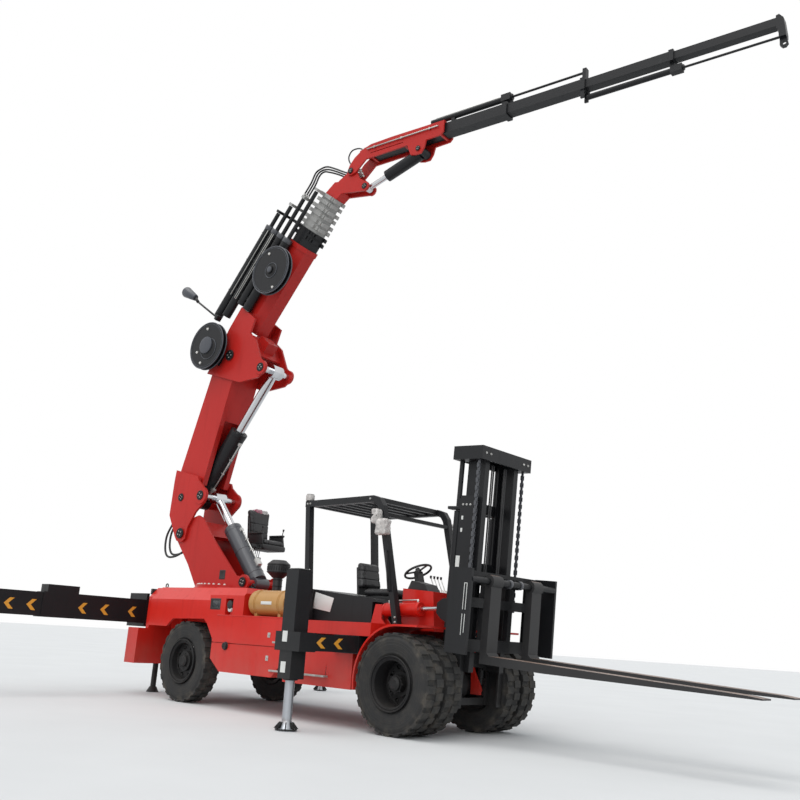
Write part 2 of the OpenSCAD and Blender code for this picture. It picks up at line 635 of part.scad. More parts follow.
// An upright channel, open towards the middle of the mast
module channel(x0, x1, y0, y1, z0, z1) difference() {
    block([x0, y0, z0], [x1, y1, z1]);
    block([x0 + 26, y0 - 1, z0 - 1], [x1 - 26, y1 - 26, z1 + 1]);
}
module mast_outer() truck() color(dark) mast_frame() {
    both_sides() {
        channel(mast_x0, mast_x0 + mast_depth, mast_half - channel_w, mast_half, -180, mast_outer_h);
        difference() {
            block([-60, mast_half - channel_w, -60], [mast_x0 + 1, mast_half - 55, 60]);
            bar_y([0, 0], 35, mast_half - channel_w - 1, mast_half - 54);
        }
        translate([mast_x0 - 80, lift_y, 70]) difference() {
            cylinder(r = 52, h = 2210);
            translate([0, 0, 60]) cylinder(r = 34 + touch_gap, h = 2200);
        }
        block([mast_x0 - 30, lift_y - 30, 70], [mast_x0 + 1, lift_y + 30, 160]);
        block([mast_x0 - 30, lift_y - 30, 2100], [mast_x0 + 1, lift_y + 30, 2200]);
        for (y = [tilt_y - tilt_ear - 26, tilt_y + tilt_ear + 6])
            slab([[-50, 940], [-50, 1070], [40, 1130], [mast_x0 + 150, 1150], [mast_x0 + 150, 800], [40, 870]],
                y, y + 20);
        block([mast_x0 + 90, mast_half - 1, 820], [mast_x0 + 151, tilt_y + tilt_ear + 26, 1130]);
    }
    for (z = [[-180, -90], [900, 1080], [2300, 2440]])
        block([mast_x0 - 25, -mast_half, z[0]], [mast_x0, mast_half, z[1]]);
}
module mast_inner() truck() color(dark) mast_frame() {
    both_sides() {
        channel(mast_x0 + 8, mast_x0 + mast_depth + 70, inner_half - channel_w, inner_half, 260, mast_h - 150);
        translate([mast_x0 - 80, lift_y, 950]) cylinder(r = 34, h = mast_h - 1101);
    }
    difference() {
        block([mast_x0 - 116, -mast_half - 90, mast_h - 180], [mast_x0 + mast_depth + 150, mast_half + 90, mast_h]);
        block([mast_x0 - 90, -mast_half + 110, mast_h - 181],
            [mast_x0 + mast_depth + 120, mast_half - 110, mast_h - 30]);
    }
    block([mast_x0 + 8, -inner_half + 20, 300], [mast_x0 + 40, inner_half - 20, 480]);
    block([mast_x0 + 8, -inner_half + 20, 1500], [mast_x0 + 40, inner_half - 20, 1640]);
}

// Carriage: side plates, cross bars, roller brackets and the shaft the forks hang from
carriage_x = mast_x0 + mast_depth + 112;
carriage_z = fork_lift_z - mast_foot[1] + 100;
shank_x = mast_x0 + 580;
shaft_x = shank_x + fork_t / 2;
shaft_z = carriage_z + carriage_h - 130;
shaft_r = 42;
module carriage() truck() color(dark) mast_frame() {
    half = carriage_w / 2;
    bars = [[carriage_z + 20, carriage_z + 170], [carriage_z + 560, carriage_z + 680], [carriage_z + 880, carriage_z + 1010]];
    for (b = bars) block([carriage_x, -half, b[0]], [carriage_x + 70, half, b[1]]);
    both_sides() {
        block([carriage_x, half - 40, carriage_z], [carriage_x + 330, half, carriage_z + carriage_h]);
        for (y = [230, 640])
            block([carriage_x, y, carriage_z + 20], [carriage_x + 70, y + 90, carriage_z + 1010]);
        for (z = [60, 840])
            block([mast_x0 + 80, inner_half - channel_w - touch_gap - 70, carriage_z + z],
                [carriage_x - touch_gap, inner_half - channel_w - touch_gap, carriage_z + z + 130]);
        block([carriage_x + 69, 70, shaft_z - 60], [shaft_x + 1, 100, shaft_z + 60]);
    }
    bar_y([shaft_x, shaft_z], shaft_r, -half + 20, half - 20);
}

// A fork hung from the shaft: eye, shank, heel and tapered blade
fork_z = fork_lift_z - mast_foot[1];
module fork(side) truck() color(dark) mast_frame() translate([0, side * fork_pitch / 2, 0]) difference() {
    union() {
        slab([[shank_x, fork_z], [shank_x + 900, fork_z], [shank_x + fork_l, fork_z + fork_t - 25],
            [shank_x + fork_l, fork_z + fork_t - 10], [shank_x + fork_l - 150, fork_z + fork_t],
            [shank_x + fork_t + 40, fork_z + fork_t], [shank_x + fork_t, fork_z + fork_t + 40],
            [shank_x + fork_t, shaft_z], [shank_x, shaft_z]], -fork_w / 2, fork_w / 2);
        bar_y([shaft_x, shaft_z], 82, -fork_w / 2, fork_w / 2);
    }
    bar_y([shaft_x, shaft_z], shaft_r + pin_fit, -fork_w / 2 - 1, fork_w / 2 + 1);
}
module fork_l_arm() fork(1);
module fork_r_arm() fork(-1);
fork_face = mast_foot + turn2([shank_x + 1900, fork_z + fork_t], -mast_lean);

// Tilt cylinders: barrels pinned on the floor brackets, rods to the mast's ears
tilt_len = norm(tilt_b - tilt_a);
tilt_ang = angle_of(tilt_b - tilt_a);
tilt_barrel_l = 700;
module tilt_frame() translate([tilt_a[0], 0, tilt_a[1]]) rotate([0, -tilt_ang, 0])
    both_sides() translate([0, tilt_y, 0]) children();
module tilt_barrels() truck() color(red) tilt_frame() difference() {
    union() {
        bar_x(86, 60, tilt_barrel_l);
        bar_x(tilt_ear - 2, 0, 80);
        bar_y([0, 0], 70, -tilt_ear, tilt_ear);
    }
    bar_x(29 + touch_gap, 150, tilt_barrel_l + 1);
    bar_y([0, 0], 30 + pin_fit, -tilt_ear - 1, tilt_ear + 1);
}
module tilt_rods() truck() color(chrome) tilt_frame() {
    bar_x(29, 420, tilt_len - 30);
    bar_y([tilt_len, 0], 60, -tilt_ear, tilt_ear);
}

// Crane. Pins are [forward, up] from the slewing axis on the ground, then in each boom's own frame.
p_luff = [-1005, 2743];
p_lift = [700, 1905];
m_lift = [756, -231];
m_knuckle = [602, 286];
m_elbow = [3346, 196];
o_knuckle = [237, -888];
o_hinge = [4020, -5];
o_jib_eye = [3915, -490];
j_cyl = [1500, 25];
p_elbow = p_luff + turn2(m_elbow, main_angle);
p_hinge = p_elbow + turn2(o_hinge, outer_angle);
p_lift_eye = p_luff + turn2(m_lift, main_angle);
p_knuckle_foot = p_luff + turn2(m_knuckle, main_angle);
p_knuckle_eye = p_elbow + turn2(o_knuckle, outer_angle);
p_jib_eye = p_elbow + turn2(o_jib_eye, outer_angle);
p_jib_foot = p_hinge + turn2(j_cyl, jib_angle);

module crane() translate([-slew_x, 0, 0]) rotate([0, 0, heading]) children();
module at_pin(p, a) crane() translate([p[0], 0, p[1]]) rotate([0, -a, 0]) children();
module main_frame() at_pin(p_luff, main_angle) children();
module outer_frame() at_pin(p_elbow, outer_angle) children();
module jib_frame() at_pin(p_hinge, jib_angle) children();

// Column: two side plates on a turntable, joined by webs, with the pins of the boom and lift cylinder
column_half = column_w / 2;
foot_in = column_half + slide_gap;
foot_out = foot_in + plate_t;
luff_r = 70;
lift_pin_r = 50;
column_outline = [[-480, ring_z], [-760, 2200], [-1130, 2620], [-1165, 2743], [-1120, 2860], [-1000, 2910],
    [-800, 3010], [-620, 3060], [-500, 3010], [-150, 2620], [500, 2010], [590, 2005], [640, ring_z]];
module column() truck() color(red) crane() {
    both_sides() difference() {
        union() {
            slab(column_outline, column_half - plate_t, column_half);
            bar_y(p_lift, 125, column_half - plate_t, column_half);
        }
        block([100, column_half - plate_t - 1, 1945], [245, column_half + 1, 2100]);
    }
    slab([[-440, ring_z], [-720, 2200], [-1050, 2560], [-1010, 2600], [-660, 2230], [-360, ring_z]],
        -column_half + 1, column_half - 1);
    slab([[-620, 2900], [-560, 2960], [-330, 2700], [-390, 2660]], -column_half + 1, column_half - 1);
    translate([0, 0, ring_z]) cylinder(r = ring_d / 2 - 30, h = 45, $fn = 96);
    bar_y(p_luff, luff_r, -foot_out - 20, foot_out + 20);
    bar_y(p_lift, lift_pin_r, -column_half - 20, column_half + 20);
}

// Crane control seat on the column's left side
module control_seat() truck() color(dark) crane() {
    block([-330, 560, 2560], [140, 1120, 2660]);
    slab([[-330, 2560], [-200, 2659], [-250, 3260], [-290, 3330], [-370, 3330], [-400, 3260]], 560, 1120);
    both_sides_of(840) slab([[-300, 2659], [-310, 2880], [80, 2860], [110, 2659]], 240, 280);
    block([-240, column_half, 2570], [40, 561, 2640]);
}
// A copy on each side of a plane across the machine
module both_sides_of(y) translate([0, y, 0]) both_sides() children();

// Main boom: a box on two foot plates that straddle the column, open below for the knuckle cylinder
main_half = main_w / 2;
slot_half = knuckle_d / 2 + 40;
elbow_r = 75;
knuckle_pin_r = 55;
module main_boom() truck() color(red) main_frame() {
    difference() {
        union() {
            slab([[930, -50], [3200, 0], [3346, 20], [3480, 90], [3500, 300], [3450, 420], [3300, 560],
                [3200, 600], [930, 660]], -main_half, main_half);
            both_sides() {
                slab([[-150, 60], [-90, 140], [226, 460], [853, 610], [1040, 640], [1060, 0], [990, -60],
                    [900, -270], [840, -365], [756, -386], [660, -365], [450, -220], [150, -130], [-60, -150],
                    [-140, -80]], foot_in, foot_out);
                bar_y(m_lift, 155, foot_in, foot_out + 14);
                slab([[935, -10], [1040, -10], [1030, 620], [935, 600]], main_half - 1, foot_in + 1);
                bar_y(m_knuckle, 120, slot_half, foot_in + 1);
            }
            slab([[700, 500], [940, 520], [940, 610], [700, 560]], -foot_in - 1, foot_in + 1);
        }
        slab([[300, -300], [2150, -300], [2150, 120], [1500, 440], [860, 500], [300, 440]],
            -slot_half, slot_half);
        bar_y([0, 0], luff_r + pin_fit, -foot_out - 1, foot_out + 1);
        bar_y(m_elbow, elbow_r + pin_fit, -main_half - 1, main_half + 1);
    }
    bar_y(m_knuckle, knuckle_pin_r, -slot_half - 1, slot_half + 1);
}

// A cylinder between two pins: the barrel from the first, the rod to the second.
// The rod's eye stands free between its ears, since the loop is opened there.
module pin_line(a, b) at_pin(a, angle_of(b - a)) children();
module cyl_barrel(d, rod_d, len, eye, eye_half, pin) difference() {
    union() {
        bar_x(d / 2, eye * 0.6, len);
        bar_y([0, 0], eye, -eye_half, eye_half);
    }
    bar_x(rod_d / 2 + touch_gap, eye * 0.6 + 40, len + 1);
    bar_y([0, 0], pin + pin_fit, -eye_half - 1, eye_half + 1);
}
module cyl_rod(rod_d, from, len, eye, eye_half, shaft_half) {
    bar_x(rod_d / 2, from, len - eye * 0.5);
    bar_y([len, 0], eye, -eye_half, eye_half);
    bar_y([len, 0], eye * 0.45, -shaft_half, shaft_half);
}
lift_rod_d = lift_d * 0.5;
lift_l = norm(p_lift_eye - p_lift);
lift_barrel_l = 1250;
module lift_barrel() truck() color(grey) pin_line(p_lift, p_lift_eye)
    cyl_barrel(lift_d, lift_rod_d, lift_barrel_l, 98, 150, lift_pin_r);
module lift_rod() truck() color(chrome) pin_line(p_lift, p_lift_eye)
    cyl_rod(lift_rod_d, lift_l - 1200, lift_l, 105, 120, foot_in - slide_gap);

knuckle_rod_d = knuckle_d * 0.53;
knuckle_l = norm(p_knuckle_eye - p_knuckle_foot);
knuckle_barrel_l = 1530;
cheek_in = main_half + 8;
cheek_out = cheek_in + plate_t;
module knuckle_barrel() truck() color(dark) pin_line(p_knuckle_foot, p_knuckle_eye)
    cyl_barrel(knuckle_d, knuckle_rod_d, knuckle_barrel_l, 140, slot_half - slide_gap, knuckle_pin_r);
module knuckle_rod() truck() color(chrome) pin_line(p_knuckle_foot, p_knuckle_eye)
    cyl_rod(knuckle_rod_d, knuckle_l - 1830, knuckle_l, 125, 120, cheek_in - slide_gap);

// Outer boom: root cheeks outside the main boom's end, then the red box
box_x0 = 560;
box_x1 = box_x0 + outer_box_l;
box_z = -63;
box_top = box_z + outer_h;
// The eight-sided profile of a boom box, stepped in by d, as [across, up] points
function box_profile(d) = [
    [-130 + d * 0.4, d], [130 - d * 0.4, d], [outer_half_w - d, 140 + d * 0.4],
    [outer_half_w - d, outer_h - 100 - d * 0.4], [150 - d * 0.4, outer_h - d], [-150 + d * 0.4, outer_h - d],
    [-outer_half_w + d, outer_h - 100 - d * 0.4], [-outer_half_w + d, 140 + d * 0.4]];
module box_solid(x0, x1, d) translate([x0, 0, box_z]) rotate([90, 0, 90]) linear_extrude(x1 - x0)
    polygon(box_profile(d));
section_wall = section_step - touch_gap;
module box_tube(x0, x1, d, wall) difference() {
    box_solid(x0, x1, d);
    box_solid(x0 - 1, x1 + 1, d + wall);
}
module outer_boom() truck() color(red) outer_frame() {
    box_tube(box_x0, box_x1, 0, section_wall);
    difference() {
        box_solid(box_x1 - 90, box_x1, -14);
        box_solid(box_x1 - 91, box_x1 + 1, 4);
    }
    both_sides() {
        slab([[-579, 313], [-245, -602], [60, -950], [237, -1010], [330, -950], [360, -740], [557, -369],
            [575, -153], [840, box_z], [840, box_top], [385, box_top - 10]], cheek_in, cheek_out);
        bar_y(o_knuckle, 130, cheek_in, cheek_out + 14);
        slab([[box_x0, box_z + 145], [840, box_z + 145], [840, box_top - 110], [box_x0, box_top - 110]],
            outer_half_w - 5, cheek_in + 1);
    }
    slab([[330, -560], [350, -560], [560, -170], [540, -160]], -cheek_in - 1, cheek_in + 1);
    slab([[360, -480], [600, -480], [620, -200], [540, -160]], -120, 120);
    bar_y([0, 0], elbow_r, -cheek_out - 20, cheek_out + 20);
}

// Extension cylinders in a row up each side of the boom, and the two hose reels on its right side
tube_y = 350;
tube_r = 84;
tube_x1 = 2370;
head_x0 = box_x1 + 140;
function head_at(k) = head_x0 + head_pitch * (k - 1);
// Each tube: height, rear end
tubes = [[280, 860], [490, 860], [700, 500], [910, 400]];
reel_y = -580;
reel_w = 100;
reels = [[-110, 470], [1762, -5]];
module boom_hydraulics() truck() color(dark) outer_frame() {
    for (side = [-1, 1]) for (i = [side > 0 ? 1 : 0 : len(tubes) - 1])
        translate([0, side * tube_y, tubes[i][0]]) {
            bar_x(tube_r, tubes[i][1], tube_x1);
            bar_x(tube_r * 0.45, tube_x1 - 1, head_at(4 - i) + 120 - slide_gap);
        }
    for (x = [1000, 1650, 2250]) {
        block([x, -tube_y - 30, tubes[0][0] - 30], [x + 60, -tube_y + 30, tubes[3][0]]);
        block([x, tube_y - 30, tubes[1][0] - 30], [x + 60, tube_y + 30, tubes[3][0]]);
        block([x, -tube_y, box_top], [x + 60, tube_y, box_top + 60]);
    }
    for (p = reels) translate([p[0], reel_y, p[1]]) {
        rotate([-90, 0, 0]) cylinder(r = reel_d / 2, h = 12, $fn = 72);
        translate([0, reel_w - 12, 0]) rotate([-90, 0, 0]) cylinder(r = reel_d / 2, h = 12, $fn = 72);
        rotate([-90, 0, 0]) cylinder(r = reel_d * 0.36, h = reel_w, $fn = 72);
        translate([0, -30, 0]) rotate([-90, 0, 0]) cylinder(r = 75, h = 31);
    }
    slab([[-300, 120], [-90, 120], [-60, 700], [-230, 700]], -cheek_out - 30, -cheek_out);
    bar_y(reels[0], 60, reel_y + reel_w - 1, -cheek_out - 29);
    bar_y(reels[1], 50, reel_y + reel_w - 1, -outer_half_w);
}

// Telescopic sections: each a tube with a two-flange head, lugs below and a bracket for its cylinders
module outer_section(k) outer_frame() {
    d = section_step * k;
    hx = head_at(k);
    row = tubes[4 - k][0];
    box_tube(box_x0 + 40 * k, hx + 181, d, section_wall);
    for (x = [hx, hx + 110]) difference() {
        union() {
            block([x, -235 + d * 0.5, box_z + 100], [x + 70, 235 - d * 0.5, box_top - d + 25]);
            block([x, -165, box_z + d - 25], [x + 70, 165, box_z + 101]);
            for (y = [-140, 80]) block([x, y, box_z + d - 62], [x + 60, y + 60, box_z + d - 24]);
        }
        box_solid(x - 1, x + 71, d + section_wall);
    }
    if (k < 4) {
        block([hx + 120, -60, box_top - d + 24], [hx + 170, 60, row + 45]);
        block([hx + 120, -tube_y - 40, row - 45], [hx + 170, tube_y + 40, row + 45]);
    } else
        block([hx + 120, -tube_y - 40, row - 45], [hx + 170, 1 + d * 0.5 - 235, row + 45]);
}
module outer_section_1() truck() color(dark) outer_section(1);
module outer_section_2() truck() color(pale) outer_section(2);
module outer_section_3() truck() color(pale) outer_section(3);
module outer_section_4() truck() color(pale) outer_section(4);

// Adapter on the last section: a short box and two plates that carry the jib's pins
adapter_x = head_at(4) + 181;
ear_in = 80;
ear_out = 115;
hinge_r = 45;
jib_in = ear_out + slide_gap;
jib_out = jib_in + 30;
module jib_adapter() truck() color(red) outer_frame() {
    slab([[adapter_x, -10], [3620, -60], [3730, -10], [3780, 100], [3700, 260], [adapter_x, 330]], -ear_out, ear_out);
    both_sides() difference() {
        union() {
            slab([[3590, -50], o_jib_eye + [-80, -30], o_jib_eye + [-45, -78], o_jib_eye + [20, -88],
                o_jib_eye + [82, -35], o_hinge + [-30, -250], o_hinge + [75, -50], o_hinge + [85, 10],
                o_hinge + [40, 82], o_hinge + [-60, 90], [3760, 180], [3600, 200]], ear_in, ear_out);
            bar_y(o_jib_eye, 90, ear_in, ear_out + 5);
        }
        bar_y(o_hinge, hinge_r + pin_fit, ear_in - 1, ear_out + 1);
    }
}

// Fly jib: a red root of two side plates under a top plate, black tubes inside each other
jib_z = 205;
jib_top = jib_z + jib_side;
jib_base_l = 2000;
jib_x1 = 3180;
j_pin_r = 38;
jib_step = 11;
jib_wall = jib_step - touch_gap;
module jib_base() truck() color(red) jib_frame() {
    both_sides() difference() {
        slab([[-85, 10], [-60, -65], [20, -85], [120, -50], [330, 150], [1250, 160], [1340, -50], [1440, -75],
            [1560, -75], [1620, 20], [1650, 150], [jib_base_l - 50, 160], [jib_base_l, 215],
            [jib_base_l, jib_top + 1],
            [900, jib_top + 12], [420, jib_top + 1], [170, 325], [60, 250], [-40, 130]], jib_in, jib_out);
        block([420, jib_in - 1, 235], [1150, jib_out + 1, 250]);
    }
    slab([[170, 324], [420, jib_top], [900, jib_top + 11], [jib_base_l, jib_top], [jib_base_l, jib_top + 25],
        [900, jib_top + 37], [420, jib_top + 26], [170, 350]], -jib_out, jib_out);
    for (x = [400, 1150, jib_base_l - 100]) difference() {
        block([x, -jib_in - 1, jib_z - 25], [x + 40, jib_in + 1, jib_top + 1]);
        square_solid(x - 1, x + 41, 0);
    }
    bar_y([0, 0], hinge_r, -jib_out - 12, jib_out + 12);
    bar_y(j_cyl, j_pin_r, -jib_out - 12, jib_out + 12);
}
// A square bar or tube of the jib, stepped in by d
module square_solid(x0, x1, d)
    block([x0, -jib_side / 2 + d, jib_z + d], [x1, jib_side / 2 - d, jib_top - d]);
module square_tube(x0, x1, d) difference() {
    square_solid(x0, x1, d);
    square_solid(x0 - 1, x1 + 1, d + jib_wall);
}
// A collar round the end of a jib tube
module square_head(x0, x1, d) difference() {
    square_solid(x0, x1, d - 16);
    square_solid(x0 - 1, x1 + 1, d + jib_wall);
}
// An extension cylinder's barrel at height z, open at its front end for the rod
module jib_ram(r, z, x0, x1) translate([0, 0, z]) difference() {
    union() {
        bar_x(r, x0, x1);
        block([x1 - 190, -r - 10, -r - 10], [x1 - 20, r + 10, r + 10]);
    }
    bar_x(r * 0.5, x0 + 60, x1 + 1);
}
top_ram_z = 545;
low_ram_z = 95;
jib_x2 = jib_x1 + jib_step_l;
jib_x3 = jib_x2 + jib_step_l;
jib_x4 = jib_x3 + jib_tip_l;
module jib_section_1() truck() color(dark) jib_frame() {
    square_tube(420, jib_x1, 0);
    square_head(jib_x1 - 90, jib_x1, 0);
    jib_ram(50, top_ram_z, 1640, jib_x1 + 40);
    for (x = [jib_base_l + 60, jib_x1 - 90]) block([x, -35, jib_top - 1], [x + 60, 35, top_ram_z - 45]);
}
module jib_section_2() truck() color(dark) jib_frame() {
    square_tube(jib_x1 - 1500, jib_x2, jib_step);
    square_head(jib_x2 - 80, jib_x2, jib_step);
    translate([0, 0, top_ram_z]) bar_x(19, jib_x1 - 80, jib_x2 - 20);
    block([jib_x2 - 70, -45, jib_top - jib_step - 1], [jib_x2 - 10, 45, top_ram_z + 50]);
    both_sides() block([jib_x2 - 70, 54, low_ram_z - 30], [jib_x2 - 10, 84, jib_z + jib_step + 1]);
}
module jib_section_3() truck() color(dark) jib_frame() {
    square_tube(jib_x2 - 1500, jib_x3, 2 * jib_step);
    square_head(jib_x3 - 70, jib_x3, 2 * jib_step);
    jib_ram(42, low_ram_z, jib_x2 + 10, jib_x3 + 130);
    block([jib_x3 - 68, -30, low_ram_z + 38], [jib_x3 - 4, 30, jib_z + 2 * jib_step + 1]);
}
// The last section, with the head that carries the hook eye below the ram's rod
hook_t = 40;
p_eye = [jib_x4 + 85, -20];
module jib_section_4() truck() color(dark) jib_frame() {
    square_tube(jib_x3 - 1500, jib_x4, 3 * jib_step);
    translate([0, 0, low_ram_z]) bar_x(17, jib_x3 + 10, jib_x4 + 31);
    slab([[jib_x4, 210], [jib_x4, jib_top], [jib_x4 + 40, jib_top + 10], [jib_x4 + 95, jib_top - 60],
        [jib_x4 + 120, 120], [jib_x4 + 120, 60], [jib_x4 + 30, 60], [jib_x4 + 30, 150]], -65, 65);
    difference() {
        slab([p_eye + [-55, 81], p_eye + [-55, -20], p_eye + [-25, -58], p_eye + [20, -58], p_eye + [50, -20],
            p_eye + [34, 81]], -hook_t / 2, hook_t / 2);
        bar_y(p_eye, hook_r, -hook_t, hook_t);
    }
}
p_hook = p_hinge + turn2(p_eye, jib_angle);

jib_cyl_l = norm(p_jib_eye - p_jib_foot);
jib_rod_d = jib_cyl_d * 0.48;
jib_barrel_l = 790;
module jib_barrel() truck() color(dark) pin_line(p_jib_foot, p_jib_eye)
    cyl_barrel(jib_cyl_d, jib_rod_d, jib_barrel_l, 80, jib_in - slide_gap, j_pin_r);
module jib_rod() truck() color(chrome) pin_line(p_jib_foot, p_jib_eye)
    cyl_rod(jib_rod_d, 345, jib_cyl_l, 62, 52, ear_in - slide_gap);

chassis_frame();
rear_body();
side_tanks();
front_body();
engine_hood();
overhead_guard();
seat();
steering_console();
axles();
pressure_vessel();
air_cleaner();
outrigger_boxes();
drive_tyres_l();
drive_tyres_r();
drive_rims_l();
drive_rims_r();
knuckle_l();
knuckle_r();
steer_tyre_l();
steer_tyre_r();
steer_rim_l();
steer_rim_r();
mast_outer();
tilt_barrels();
tilt_rods();
mast_inner();
carriage();
fork_l_arm();
fork_r_arm();
rear_beam_l();
rear_beam_r();
rear_arm_l();
rear_arm_r();
mid_beam_l();
mid_beam_r();
rear_leg_l();
rear_leg_r();
mid_leg_l();
mid_leg_r();
column();
control_seat();
main_boom();
lift_barrel();
lift_rod();
knuckle_barrel();
knuckle_rod();
outer_boom();
boom_hydraulics();
outer_section_1();
outer_section_2();
outer_section_3();
outer_section_4();
jib_adapter();
jib_base();
jib_section_1();
jib_barrel();
jib_rod();
jib_section_2();
jib_section_3();
jib_section_4();
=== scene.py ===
"""Looks for the heavy forklift truck with a rear folding crane: finishes, trim, seats, hoses, light and camera."""

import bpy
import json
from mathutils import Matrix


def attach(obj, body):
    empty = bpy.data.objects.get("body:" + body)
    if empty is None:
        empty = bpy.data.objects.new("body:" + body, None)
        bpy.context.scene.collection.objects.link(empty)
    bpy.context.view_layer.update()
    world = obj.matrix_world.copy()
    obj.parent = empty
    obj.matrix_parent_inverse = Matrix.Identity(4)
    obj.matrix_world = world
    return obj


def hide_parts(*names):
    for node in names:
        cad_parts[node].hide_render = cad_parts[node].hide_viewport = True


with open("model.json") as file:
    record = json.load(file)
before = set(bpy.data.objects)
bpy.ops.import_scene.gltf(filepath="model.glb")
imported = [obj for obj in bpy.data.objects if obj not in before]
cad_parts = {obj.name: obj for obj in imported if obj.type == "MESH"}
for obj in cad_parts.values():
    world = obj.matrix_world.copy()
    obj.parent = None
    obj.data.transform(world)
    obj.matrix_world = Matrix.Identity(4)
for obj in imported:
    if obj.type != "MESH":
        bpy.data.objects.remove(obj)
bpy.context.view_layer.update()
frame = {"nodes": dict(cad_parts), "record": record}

import json
import math

import bpy
from mathutils import Matrix, Vector

# Places. Truck lengths are in metres from the drive axle's middle on the ground.
AXLE = 1.092
SLEW = -4.93
STEER_AXLE = -4.553
WHEEL_Z = 0.613
TANK_Y = 1.1
TANK_CAP = -3.437
BREATHER = -3.45
VESSEL_Y, VESSEL_Z = -0.88, 1.545
CLEANER_X, CLEANER_Y = -3.33, -0.3
GUARD_LAMP_Y, GUARD_LAMP_Z = 0.81, 2.755
HEADING = math.radians(5)
LUFF, LIFT, ELBOW, HINGE = (-1.005, 2.743), (0.7, 1.905), (-0.29969, 6.01969), (2.14036, 9.21446)
LIFT_EYE, KNUCKLE_FOOT, KNUCKLE_EYE = (-0.58037, 3.40977), (-1.11972, 3.39954), (0.55031, 5.6701)

TRUCK = Matrix.Translation((AXLE, 0, 0))
MAST = Matrix.Translation((AXLE + 0.24, 0, 0.56)) @ Matrix.Rotation(math.radians(3.5), 4, "Y")


def crane_frame(pin, degrees):
    """The frame of a boom: X along it from its pin, Y to the left, Z up off its back."""
    return (Matrix.Translation((AXLE + SLEW, 0, 0)) @ Matrix.Rotation(HEADING, 4, "Z")
            @ Matrix.Translation((pin[0], 0, pin[1])) @ Matrix.Rotation(-math.radians(degrees), 4, "Y"))


def pin_frame(a, b):
    return crane_frame(a, math.degrees(math.atan2(b[1] - a[1], b[0] - a[0])))


CRANE = crane_frame((0, 0), 0)
MAIN = crane_frame(LUFF, 74.5)
OUTER = crane_frame(ELBOW, 52.7)
JIB = crane_frame(HINGE, -2)
LIFT_CYLINDER = pin_frame(LIFT, LIFT_EYE)
KNUCKLE_CYLINDER = pin_frame(KNUCKLE_FOOT, KNUCKLE_EYE)
# Each body's pieces are drawn in one frame. The bodies that aren't named here use the truck's.
FRAMES = {"column": CRANE, "main_boom": MAIN, "outer_boom": OUTER, "section_4": OUTER, "jib": JIB, "mast": MAST,
          "inner_mast": MAST, "carriage": MAST, "lift_barrel": LIFT_CYLINDER, "knuckle_barrel": KNUCKLE_CYLINDER}
X, Y, Z = Vector((1, 0, 0)), Vector((0, 1, 0)), Vector((0, 0, 1))
SIDES = (1, "l"), (-1, "r")


def frame_of(body):
    return FRAMES.get(body, TRUCK)


def spokes(count, radius, first=0.0):
    """Points at even turns round an axle that lies along Y."""
    turns = [first + i * math.tau / count for i in range(count)]
    return [radius * Vector((math.cos(a), 0, math.sin(a))) for a in turns]


def round_post(x, y, count):
    """Places that turn a pattern round the upright line through x, y."""
    return [Matrix.Translation((x, y, 0)) @ Matrix.Rotation(i * math.tau / count, 4, "Z")
            @ Matrix.Translation((-x, -y, 0)) for i in range(count)]


# Modelling tools. Each works on one selected object.
def unselected():
    bpy.ops.object.select_all(action="DESELECT")


def pick(o):
    unselected()
    o.select_set(True)
    bpy.context.view_layer.objects.active = o


def added(name):
    o = bpy.context.object
    o.name = name
    bpy.ops.object.transform_apply(location=True, rotation=True, scale=True)
    return o


def modified(o, kind, **values):
    """Adds a modifier with these values and applies it."""
    pick(o)
    m = o.modifiers.new(kind.lower(), kind)
    for k, v in values.items():
        setattr(m, k, v)
    bpy.ops.object.modifier_apply(modifier=m.name)
    return o


def eased(o, width, segments=2):
    """Rounds the sharp edges over and shades the rest smooth."""
    modified(o, "BEVEL", width=width, segments=segments, limit_method="ANGLE", angle_limit=math.radians(40))
    bpy.ops.object.shade_smooth_by_angle(angle=math.radians(35))
    return o


def plate(name, a, b, ease=0.003, segments=2):
    """A plate or block between two corners, given in any order, with eased edges."""
    low, high = Vector(map(min, a, b)), Vector(map(max, a, b))
    unselected()
    bpy.ops.mesh.primitive_cube_add(size=1, location=(low + high) / 2, scale=high - low)
    o = added(name)
    return eased(o, ease, segments) if ease else o


def bar(name, radius, a, b, sides=24, ease=0.003, far=None):
    """A round bar from a to b. With far it tapers to that radius."""
    a, b = Vector(a), Vector(b)
    turn = (b - a).to_track_quat("Z", "Y").to_euler()
    unselected()
    bpy.ops.mesh.primitive_cone_add(vertices=sides, radius1=radius, radius2=radius if far is None else far,
                                    depth=(b - a).length, location=(a + b) / 2, rotation=turn)
    o = added(name)
    return eased(o, ease) if ease else o


def hoop(name, radius, thickness, at, way, turns=48, sides=10):
    unselected()
    bpy.ops.mesh.primitive_torus_add(major_radius=radius, minor_radius=thickness, major_segments=turns,
                                     minor_segments=sides, location=at,
                                     rotation=Vector(way).to_track_quat("Z", "Y").to_euler())
    o = added(name)
    bpy.ops.object.shade_smooth_by_angle(angle=math.radians(60))
    return o


def choose(o, wanted):
    """Leaves only the faces that wanted(face) names selected, and opens the mesh for editing."""
    pick(o)
    bpy.context.tool_settings.mesh_select_mode = (False, False, True)
    for part in (o.data.vertices, o.data.edges):
        part.foreach_set("select", [False] * len(part))
    for face in o.data.polygons:
        face.select = wanted(face)
    bpy.ops.object.mode_set(mode="EDIT")


def sunk(o, way, rim, depth):
    """Insets the faces that look along way by rim and sinks them by depth, or raises them where it is below 0."""
    way = Vector(way)
    choose(o, lambda f: f.normal.dot(way) > 0.97)
    bpy.ops.mesh.inset(thickness=rim, depth=-depth, use_even_offset=True)
    bpy.ops.object.mode_set(mode="OBJECT")
    return o


def pushed(o, wanted, move):
    """Moves the points that wanted(point) names."""
    for v in o.data.vertices:
        if wanted(v.co):
            v.co += Vector(move)
    return o


